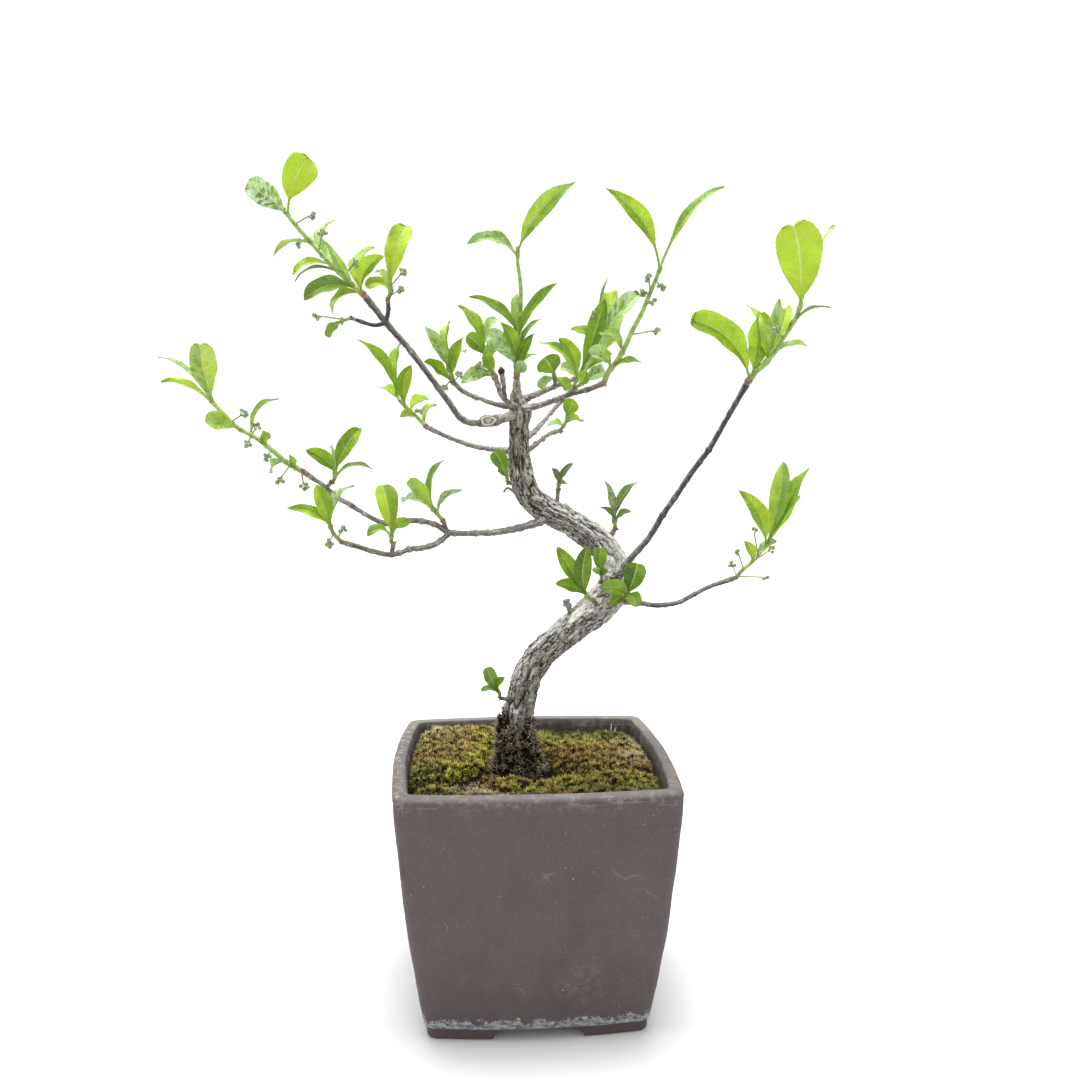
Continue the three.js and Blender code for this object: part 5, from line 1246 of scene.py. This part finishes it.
# Light dots, most of them on the left, a few scratches and one stain.
dots = ramp(spots(place, 1.1, 3, 0.6) - ramp(x_mm, -30, 20, 0.03, 0.0), 0.715, 0.74)
scratch = ramp(abs(spots(place, 22, 2, 0.4) - 0.5), 0.004, 0.001) * ramp(mottle, 0.56, 0.66)
near = {0: centred, 1: (0.0145, -0.045, 0.0225)}
near = node("ShaderNodeVectorMath", near, "Value", operation="DISTANCE")
stain = ramp(near, 0.013, 0.002) * ramp(ragged, 0.44, 0.6)
color = layers(
    mix(ramp(mottle, 0.3, 0.7), (72, 62, 62), (80, 69, 69)),
    (ramp(brushed, 0.45, 0.75, 0, 0.25), (88, 77, 76)),
    (ramp(grain, 0.54, 0.7, 0, 0.5), (109, 98, 97)),
    (ramp(grain, 0.44, 0.3, 0, 0.6), (50, 41, 41)),
    (inner, mix(ramp(brushed, 0.42, 0.7), (54, 52, 48), (90, 87, 82))),
    (rim, (128, 123, 116)),
    (streak * 0.4, (140, 135, 131)),
    (scuffed, (184, 180, 176)),
    (lime, (168, 174, 178)),
    (dots * 0.8, (205, 200, 196)),
    (scratch * 0.4, (146, 140, 137)),
    (stain * 0.25, (124, 114, 101)),
    (ramp(rise, 4.6, 3.6) * 0.6, (84, 70, 67)),
)
finish_material(color, 0.66, grain * 0.5 + drawn * 0.9 + lime * 0.5, 0.16)

# %% The body, the feet and the drain hole
# The outlines go up the outside, over the rounded rim, down the inside and across the floor.
levels = [(FOOT_HEIGHT, half_at(FOOT_HEIGHT) - EDGE, 5)]
for turn in np.linspace(0.25, 1, 4) * math.pi / 2:
    height = FOOT_HEIGHT + EDGE * (1 - math.cos(turn))
    levels.append((height, half_at(FOOT_HEIGHT + EDGE) - EDGE * (1 - math.sin(turn)), 6))
levels += [(height, half_at(height), 6) for height in np.linspace(7, POT_HEIGHT - 2.8, 34)]
for turn in np.linspace(0, 1, 8) * math.pi / 2:
    levels.append((POT_HEIGHT - LIP * (1 - math.sin(turn)), RIM_HALF - LIP * (1 - math.cos(turn)), 6))
inside = RIM_HALF - WALL + 0.4
for turn in np.linspace(0, 1, 6) * math.pi / 2:
    levels.append((POT_HEIGHT - 1 + math.cos(turn), inside + 1 - math.sin(turn), 4.5))
levels += [(height, half_at(height) - WALL, 4) for height in np.linspace(POT_HEIGHT - 2.7, 13, 25)]
levels += [(FLOOR_TOP, half_at(FLOOR_TOP) - WALL, 4)]
pot_clay = Shape().add(*stack(levels, uneven=0.22)).build("pot_clay", clay)

# The ring of the feet loses its core and then a wide gap along x and one along y.
half = half_at(FOOT_HEIGHT) - EDGE
feet = Shape().add(*stack([(0, half - 0.8, 5), (0.3, half - 0.3, 5), (1, half, 5),
                           (FOOT_HEIGHT + 1, half, 5)])).build("feet", clay)
core, above = half - 12, 2 * FOOT_HEIGHT
cut(feet, *bar([(-core, -1), (core, -1), (core, above), (-core, above)], core))
gap = [(-17.5, -1), (17.5, -1), (14.5, FOOT_HEIGHT), (-14.5, FOOT_HEIGHT)]
for turned in (False, True):
    cut(feet, *bar(gap, 60, turned))
combine(pot_clay, feet, "UNION")

# A round drain hole goes through the floor.
cut(pot_clay, *tube(np.array([[0, 0, -2], [0, 0, 6], [0, 0, 20]]), 7, 48))
hand_over(pot_clay, "clay", "pot")

# %% The drain net, a plain black plastic mesh that stays as the frame has it
plastic, place = material("black plastic")
finish_material(mix(ramp(spots(place, 2, 3), 0.3, 0.7), (34, 36, 36), (48, 50, 50)), 0.5)
dress("drain_net", plastic)

# %% [markdown]
# ## Soil and moss
#
# Moss is thousands of tiny tufts on low cushions. One Geometry Nodes group scatters a small piece
# over a surface: it takes points on the faces, sets the piece on each with a random turn, lean and
# size, gives every copy its own `tone`, and makes real faces of them. The mark `grow` of the
# surface says how thick the growth is there.

# %% The scatter group
def scatter_group():
    """The node group that sets copies of a piece on a surface."""
    sockets = {"Surface": "Geometry", "Piece": "Object", "Density": "Float", "Smallest": "Float",
               "Largest": "Float", "Lean": "Float", "Seed": "Int", "Material": "Material"}
    given = open_group("scatter pieces", "GeometryNodeTree", sockets, {"Geometry": "Geometry"})
    lean, seed = given["Lean"], given["Seed"]
    grow = node("GeometryNodeInputNamedAttribute", {"Name": "grow"}, "Attribute", data_type="FLOAT")
    inputs = {"Mesh": given["Surface"], "Density": given["Density"] * grow, "Seed": seed}
    kind = "GeometryNodeDistributePointsOnFaces"
    points = node(kind, inputs, None, distribute_method="RANDOM")
    low = node("ShaderNodeCombineXYZ", {0: lean * -1, 1: lean * -1})
    high = node("ShaderNodeCombineXYZ", {0: lean, 1: lean, 2: 2 * math.pi})
    turn = {0: low, 1: high, 8: seed}
    turn = {0: node("FunctionNodeRandomValue", turn, data_type="FLOAT_VECTOR")}
    turn = {0: points["Rotation"], 1: node("FunctionNodeEulerToRotation", turn)}
    turn = node("FunctionNodeRotateRotation", turn, rotation_space="LOCAL")
    size = {2: given["Smallest"], 3: given["Largest"], 8: seed}
    size = node("FunctionNodeRandomValue", size, 1, data_type="FLOAT")
    piece = node("GeometryNodeObjectInfo", {"Object": given["Piece"]}, "Geometry")
    inputs = {"Points": points["Points"], "Instance": piece, "Rotation": turn, "Scale": size}
    copies = node("GeometryNodeInstanceOnPoints", inputs)
    tone = node("FunctionNodeRandomValue", {2: 0.0, 3: 1.0, 8: 77}, 1, data_type="FLOAT")
    inputs = {"Geometry": copies, "Name": "tone", "Value": tone}
    kind = "GeometryNodeStoreNamedAttribute"
    copies = node(kind, inputs, data_type="FLOAT", domain="INSTANCE")
    real = node("GeometryNodeRealizeInstances", {"Geometry": copies})
    real = node("GeometryNodeSetMaterial", {"Geometry": real, "Material": given["Material"]})
    both = tree.nodes.new("GeometryNodeJoinGeometry")
    for part in (given["Surface"], real):
        tree.links.new(part.socket, both.inputs[0])
    node("NodeGroupOutput", {0: Value(both.outputs[0])}, None)
    return tree


SCATTER = scatter_group()


def scatter(surface, **inputs):
    """Grows pieces on a surface and leaves one plain mesh."""
    step = surface.modifiers.new("scatter", "NODES")
    step.node_group = SCATTER
    for item in SCATTER.interface.items_tree:
        if item.name in inputs:
            step[item.identifier] = inputs[item.name]
    surface.update_tag()
    settle(surface)


# %% Tufts, fibres and grains, small closed pieces that are only copied
def spikes(name, rows, joints=1):
    """A tuft of three-sided spikes, each [lean, turn, length, width]."""
    shape = Shape()
    for lean, turn, length, width in rows:
        out = np.array([math.cos(turn), math.sin(turn), 0])
        side = np.array([-out[1], out[0], 0])
        share = np.linspace(0, 1, joints + 1)
        up = np.array([0, 0, math.cos(lean)])
        path = length * (out * math.sin(lean) * share[:, None] ** 1.5 + up * share[:, None])
        half = width / 2 * (1 - 0.5 * share[:-1, None, None])
        corners = path[:-1, None] + half * np.array([side, -side, out])
        last, tip = 3 * (joints - 1), 3 * joints
        faces = [(0, 1, 2)]
        for k in range(3):
            after = (k + 1) % 3
            faces += [(a + after, a + k, a + k + 3, a + after + 3) for a in range(0, last, 3)]
            faces.append((last + after, last + k, tip))
        corners = np.vstack([corners.reshape(-1, 3), path[-1]])
        shape.add(corners - MIDDLE, faces, tip=np.append(np.repeat(share[:-1], 3), 1.0))
    return shape.build(name, inside=False)


rows = [(0.8 - 0.09 * k, 2.4 * k, 1.2 + 0.12 * k, 0.5) for k in range(5)]
tuft = spikes("tuft", [*rows, (0, 0, 1.7, 0.45)])
rows = [(0.3 + 0.12 * k, 2.4 * k, 2.4 - 0.2 * k, 0.3) for k in range(4)]
fibres = spikes("fibres", rows, joints=2)
corners, faces = ball((0, 0, 0), (0.75, 0.6, 0.5), 7, 4)
lumpy = 1 + 0.2 * noise(*(2 * corners.T))
pebble = Shape().add(corners * lumpy[:, None] - MIDDLE, faces, tip=0.5).build("pebble", inside=False)

# %% Moss and soil materials
def moss_material(name, dark):
    """Moss in the colours that its marks say, or the dark, bristly moss with pale tips."""
    made, place = material(name)
    tone, tip, fresh, dry = (mark(key) for key in ("tone", "tip", "fresh", "dry"))
    fine = spots(place, 2.5, 3)
    if dark:
        shade = (24, 19, 12)
        color = layers(
            mix(ramp(tone, 0.15, 0.75), (42, 31, 17), (104, 82, 44)),
            (ramp(tip, 0.35, 0.8) * ramp(tone, 0.28, 0.45), (226, 214, 188)),
            (fresh * 0.8, (146, 138, 44)),
        )
    else:
        shade, even = (26, 22, 10), ramp(tone, 0.1, 0.9)
        brown = ramp(spots(place, 5, 3, 0.65), 0.48, 0.62, 0, 0.8)
        color = layers(
            mix(even, (72, 60, 16), (172, 150, 62)),
            (maths("MAXIMUM", brown, mark("rust") * 0.9), mix(even, (56, 34, 14), (166, 116, 56))),
            (fresh, mix(even, (80, 88, 12), (206, 202, 46))),
            (mark("deep"), mix(even, (26, 44, 8), (104, 134, 28))),
            (dry, mix(tone, (100, 90, 66), (206, 196, 170))),
        )
        tipped = ramp(tip, 0.4, 1.0) * ramp(tone, 0.3, 0.8, 0.3, 0.95)
        x, y, _ = axes(place)
        # Near the front wall and at the back right the moss is painted darker, a painted shade of the
        # pot's walls, weaker where the moss is dry.
        front = ramp(y, -12 * MM, -32 * MM, 0.0, 0.4)
        back = ramp(y, 16 * MM, 40 * MM, 0.0, 0.65) * ramp(x, 12 * MM, 26 * MM)
        painted_wall_shade = maths("MAXIMUM", front, back) * ramp(dry, 0.0, 0.7, 1.0, 0.3)
        color = layers(color, (tipped, mix(0.55, color, (244, 232, 170))), (painted_wall_shade, shade))
    # Low on each tuft, and in fine random specks, the moss is painted dark, a painted shade between the
    # tufts.
    color = mix(ramp(tip, 0.0, 0.65), shade, color)
    color = mix(ramp(fine, 0.45, 0.7, 0.0, 0.5), color, shade)
    finish_material(color, 0.9, fine, 0.3, **DULL_SHINE)
    return made


moss_skin = moss_material("moss", dark=False)
dark_skin = moss_material("dark moss", dark=True)
earth, place = material("earth")
crumbs = spots(place, 1.6, 4, 0.65)
color = mix(ramp(crumbs, 0.35, 0.7), (16, 13, 10), (40, 32, 25))
color = mix(ramp(mark("tone"), 0.75, 0.95, 0.0, 0.5), color, (84, 68, 50))
finish_material(color, 0.95, crumbs, 0.9, **DULL_SHINE)

# %% Where the moss is green, deep green, rusty, dry or thin
# Each patch is its place over the pot, its size and its strength.
PATCHES = {
    "fresh": [(-33, -19, 8, 1), (-27, -8, 7, 1), (-21, 4, 6, 1), (-15, 17, 7, 1.1), (-12, 29, 8, 1.1),
              (-4, -28, 9, 0.9), (10, -25, 9, 0.9), (22, -22, 8, 0.5), (36, -26, 10, 0.7),
              (44, 12, 5, 0.5), (13, 25, 7, 0.8), (25, 25, 7, 0.6)],
    "deep": [(-44, -11, 8, 1), (15, 36, 14, 1.1), (33, 34, 13, 1.1), (27, -20, 9, 0.6),
             (44, -36, 11, 1), (-43, 22, 6, 0.7), (24, -36, 10, 0.7), (-40, -34, 7, 0.7)],
    "rust": [(-34, 8, 10, 0.8), (-38, 24, 9, 0.5), (20, 8, 11, 0.9), (32, 4, 9, 0.8),
             (18, -12, 8, 0.7)],
    "dry": [(-40, 36, 9, 0.8), (-30, 42, 7, 0.7), (-28, -29, 6, 0.9), (-22, -32, 7, 1.1),
            (-12, -34, 6, 1.1), (43, 20, 8, 0.8), (41, 2, 8, 0.8)],
    "bare": [(-30, -21, 7, 1.1), (-22, -19, 5, 0.9), (-37, -33, 5, 0.7), (5, -3, 8, 1.2), (2, 8, 6, 1),
             (16, -5, 6, 0.6), (-36, -40, 8, 0.9), (-24, -12, 4, 0.6), (24, 41, 6, 0.5),
             (-4, -39, 5, 0.7)],
}


def patch(kind, x, y):
    """How much a place lies in any of the soft round patches of one kind."""
    total = 0 * x
    for px, py, size, strength in PATCHES[kind]:
        apart = (x - px) ** 2 + (y - py) ** 2
        total = np.maximum(total, strength * np.exp(-apart / (2 * (0.6 * size) ** 2)))
    return total


def colour_moss(made):
    """Marks on each corner what colour the moss has there."""
    places = np.empty(len(made.data.vertices) * 3, np.float32)
    made.data.vertices.foreach_get("co", places)
    x, y, _ = (places.reshape(-1, 3) / MM - MIDDLE).T
    wander = 2 * noise(x / 6, y / 6, 3.3)
    speck = noise(x / 1.3, y / 1.3, 8.1)
    colours = {
        "fresh": 1.25 * patch("fresh", x + wander, y + wander) + 0.12 * wander + 0.3 * speck,
        "deep": 1.2 * patch("deep", x - wander, y + wander) + 0.35 * speck - 0.1,
        "rust": patch("rust", x + wander, y - wander) + 0.35 * speck,
        "dry": 1.2 * patch("dry", x - wander, y) + 0.4 * speck - 0.15,
    }
    for name, values in colours.items():
        write_mark(made.data, name, np.clip(values, 0, 1))


# %% Cushions, each the place of its top, its height and its rim
CUSHIONS = {
    "left": ([-27, 20], 5.2, [[-44.5, -16], [-46, 5], [-45.4, 28], [-42.4, 42], [-26, 45.4],
             [-11, 44.4], [-10, 28], [-15, 13], [-17, 2], [-24, -7.5], [-31, -14], [-39, -18]]),
    "front_left": ([-28, -36], 3.6, [[-41, -24], [-33, -22], [-24, -25], [-15, -30], [-11, -37],
                   [-15, -44], [-28, -45.4], [-40, -43.4], [-44.4, -34]]),
    "front": ([-11, -20], 2.6, [[-20, -14.5], [-13, -14], [-6, -14.5], [-1, -17], [-4, -23],
              [-9, -29.5], [-16, -26], [-22, -20]]),
    "front_right": ([23, -30], 4.2, [[-7, -33], [2, -22], [14, -15.5], [28, -14], [43.4, -13],
                    [45.4, -28], [41.4, -43], [25, -45.4], [5, -45.4], [-8, -43]]),
    "back_right": ([26, 20], 4.6, [[9, -6], [10, 6], [4, 16], [-7, 20], [-9, 32], [-7, 43.4],
                   [12, 45], [27, 45.8], [41, 42.6], [45.4, 25], [46, 8], [44.4, -10], [30, -12],
                   [17, -12]]),
}


def cushion(name, top, height, rim, seed):
    """A low dome from its rim up to its top, thick with tufts where it isn't bare."""
    closed = [[x, y, 0] for x, y in [*rim[-2:], *rim, *rim[:2]]]
    path, reached, _ = spline(closed, pick(0.8))
    path = path[(reached >= 2) & (reached < 2 + len(rim))][::-1, :2]
    share = np.linspace(1, 0, pick(26), endpoint=False)[:, None] ** 0.75
    x, y = np.moveaxis(np.array(top) + share[..., None] * (path[None] - top), -1, 0)
    clumps = 0.35 * np.sin(1.3 * x + 0.7 * y) + 0.35 * np.sin(0.8 * x - 1.5 * y + 2)
    rough = 1.2 * noise(x / 5, y / 5, seed) + 0.8 * noise(x / 2, y / 2, seed + 9)
    rough = rough - 1.2 * np.clip(patch("bare", x, y), 0, 1)
    dome = (1 - share**6) ** 0.5
    z = SOIL_TOP - 0.3 + height * dome + (0.6 * clumps + rough) * smooth(0, 0.6, dome)

    # Higher at the back left and lower at the back right.
    z = z + 1.8 * smooth(20, 40, y) * smooth(-8, -20, x) * smooth(0, 0.5, dome)
    z = z - 1.8 * smooth(28, 45, y) * smooth(4, 14, x) * smooth(0, 0.5, dome)
    foot = np.dstack([x[:1], y[:1], 0 * z[:1] + SOIL_TOP - 0.6])
    rings = np.concatenate([foot, np.dstack([x, y, z])])
    corners, faces = close_rings(rings, [*top, SOIL_TOP - 0.6], [*top, z[-1].mean()])
    x, y, z = corners.T
    thick = np.clip(0.9 + 0.9 * noise(x / 3, y / 3, 1.0), 0.15, 2)
    grow = (z > SOIL_TOP - 0.35) * thick * np.clip(1 - patch("bare", x, y), 0.04, 1)
    made = Shape().add(corners, faces, grow=grow, tip=0.06).build("cushion_" + name, moss_skin)
    scatter(made, Piece=tuft, Density=pick(0.95e6), Smallest=0.7, Largest=1.6, Lean=0.5,
            Seed=seed, Material=moss_skin)
    colour_moss(made)
    return made


for seed, (name, parts) in enumerate(CUSHIONS.items()):
    hand_over(cushion(name, *parts, seed + 1), "moss", "moss_" + name)

# %% A pale sprig by the back rim
sprig = Shape()
for x, lean, tall in ((36, 0.05, 6.4), (35.3, -0.4, 3.8), (36.8, 0.35, 4.6)):
    path = [[x + lean * up, 37.5 - 0.1 * up, SOIL_TOP + 2 + up] for up in (0, tall / 2, tall)]
    sprig.add(*tube(np.array(path), [0.5, 0.4, 0.1], 6), tip=0.8, tone=0.7, dry=1, fresh=0, deep=0)
hand_over(sprig.build("moss_sprig", moss_skin), "moss")

# %% The dark collar that climbs the foot of the trunk
# It follows the trunk, gets thinner as it climbs and ends in single fibres.
height = np.linspace(SOIL_TOP - 0.3, 113, pick(44))[:, None]
radius = [10.0, 9.0, 8.0, 7.3, 6.6, 6.0, 5.5, 4.9, 4.2]
radius = np.interp(height, [84.8, 87.6, 91.4, 96, 100, 104, 107, 110, 113], radius)
middle = np.interp(height, [84, 92, 100, 105, 112], [-5.0, -5.4, -6.3, -6.4, -5.6])
turn = circle(pick(64))[None]
bumps = noise(2.4 * np.cos(turn), 2.4 * np.sin(turn), height / 5)
around = radius * (1 + 0.05 * np.sin(2 * turn + height / 4)) + 0.9 * bumps * smooth(104, 94, height)
rings = [middle + around * np.cos(turn), around * np.sin(turn), height + 0 * turn]
corners, faces = close_rings(np.stack(rings, -1), [-6, 0, height[0, 0]], [-5, 0, height[-1, 0]])
grow = np.interp(corners[:, 2], [84.8, 97, 103, 107, 110, 113], [1.0, 1.0, 0.9, 0.6, 0.25, 0.0])
ragged = noise(*(corners / [2.5, 2.5, 4]).T)
grow = grow * np.clip(0.9 + 1.2 * ragged, 0.1, 2)
collar = Shape().add(corners, faces, grow=grow, tip=0.04).build("trunk_moss", dark_skin)
scatter(collar, Piece=fibres, Density=pick(1.0e6), Smallest=0.6, Largest=1.7, Lean=0.9,
        Seed=9, Material=dark_skin)
colour_moss(collar)
hand_over(collar, "dark_moss", "moss_collar")

# %% Loose grains lie where no moss covers the soil
def within(x, y, rim):
    """Whether places lie inside an outline."""
    inside = np.zeros(x.shape, bool)
    for (ax, ay), (bx, by) in zip(rim, rim[1:] + rim[:1]):
        beside = x < ax + (y - ay) / (by - ay + 1e-9) * (bx - ax)
        inside ^= ((ay > y) != (by > y)) & beside
    return inside


x, y = np.meshgrid(*[np.linspace(-45.5, 45.5, 62)] * 2, indexing="xy")
upper = np.dstack([x, y, SOIL_TOP + 0.2 + 0.5 * noise(x / 3, y / 3, 0.5)])
covered = np.any([within(x, y, rim) for *_, rim in CUSHIONS.values()], axis=0)
bare = (~covered & (np.hypot(x + 5, y) > 8)).astype(float).reshape(-1)
grains = Shape().add(*sheet(upper, upper - [0, 0, 1.5]), grow=np.append(bare, 0 * bare))
grains = grains.build("soil_grains", earth)
scatter(grains, Piece=pebble, Density=pick(0.8e6), Smallest=0.4, Largest=1.3, Lean=3.0,
        Seed=4, Material=earth)
hand_over(grains, "soil")
dress("soil", earth)
for piece in (tuft, fibres, pebble):
    bpy.data.objects.remove(piece)

# %% [markdown]
# ## The room
#
# The plant stands on a white floor in a white room. Light comes from everywhere, and most of it from
# a wide lamp above and behind, which shines through the leaves. Far from the pot the floor glows a
# little, so that it ends in the same white as the room.

# %% Floor, room, lamp and camera
paper, place = material("paper")
away = node("ShaderNodeVectorMath", {0: place}, "Value", operation="LENGTH")
glow = {"Emission Color": (1, 1, 1, 1), "Emission Strength": ramp(away, 0.2, 0.9, 0.0, 0.6)}
finish_material((0.9, 0.9, 0.9, 1), 0.9, **glow)
floor = np.array([[-1, -1, 0], [1, -1, 0], [1, 1, 0], [-1, 1, 0]]) * 3000
floor = Shape().add(floor, [(0, 1, 2, 3)]).build("floor", paper, inside=False)

world = bpy.data.worlds.new("room")
world.use_nodes = True
tree = world.node_tree
strength = node("ShaderNodeLightPath", out="Is Camera Ray") * 0.4 + 0.8
white = node("ShaderNodeBackground", {"Color": (1, 1, 1, 1), "Strength": strength})
tree.links.new(white.socket, tree.nodes["World Output"].inputs["Surface"])
bpy.context.scene.world = world


def put(name, data, place, turn):
    """Puts a lamp or a camera in the room."""
    made = bpy.data.objects.new(name, data)
    bpy.context.scene.collection.objects.link(made)
    made.location, made.rotation_euler = place, turn
    return made


lamp = bpy.data.lights.new("lamp above", "AREA")
lamp.shape, lamp.size, lamp.energy = "DISK", 0.7, 14
lamp_place = mathutils.Vector((-0.02, 0.09, 1.05))
aim = mathutils.Vector((0.01, 0, 0.1)) - lamp_place
put("lamp above", lamp, lamp_place, aim.to_track_quat("-Z", "Y").to_euler())

camera = bpy.data.cameras.new("camera")
camera.lens, camera.sensor_width, camera.clip_start = 35.2, 36, 0.01
turn = (math.radians(90 - 5.88), 0, math.radians(-3.9))
bpy.context.scene.camera = put("camera", camera, ((EYE + MIDDLE) * MM).tolist(), turn)
bpy.context.scene.view_settings.view_transform = "Standard"
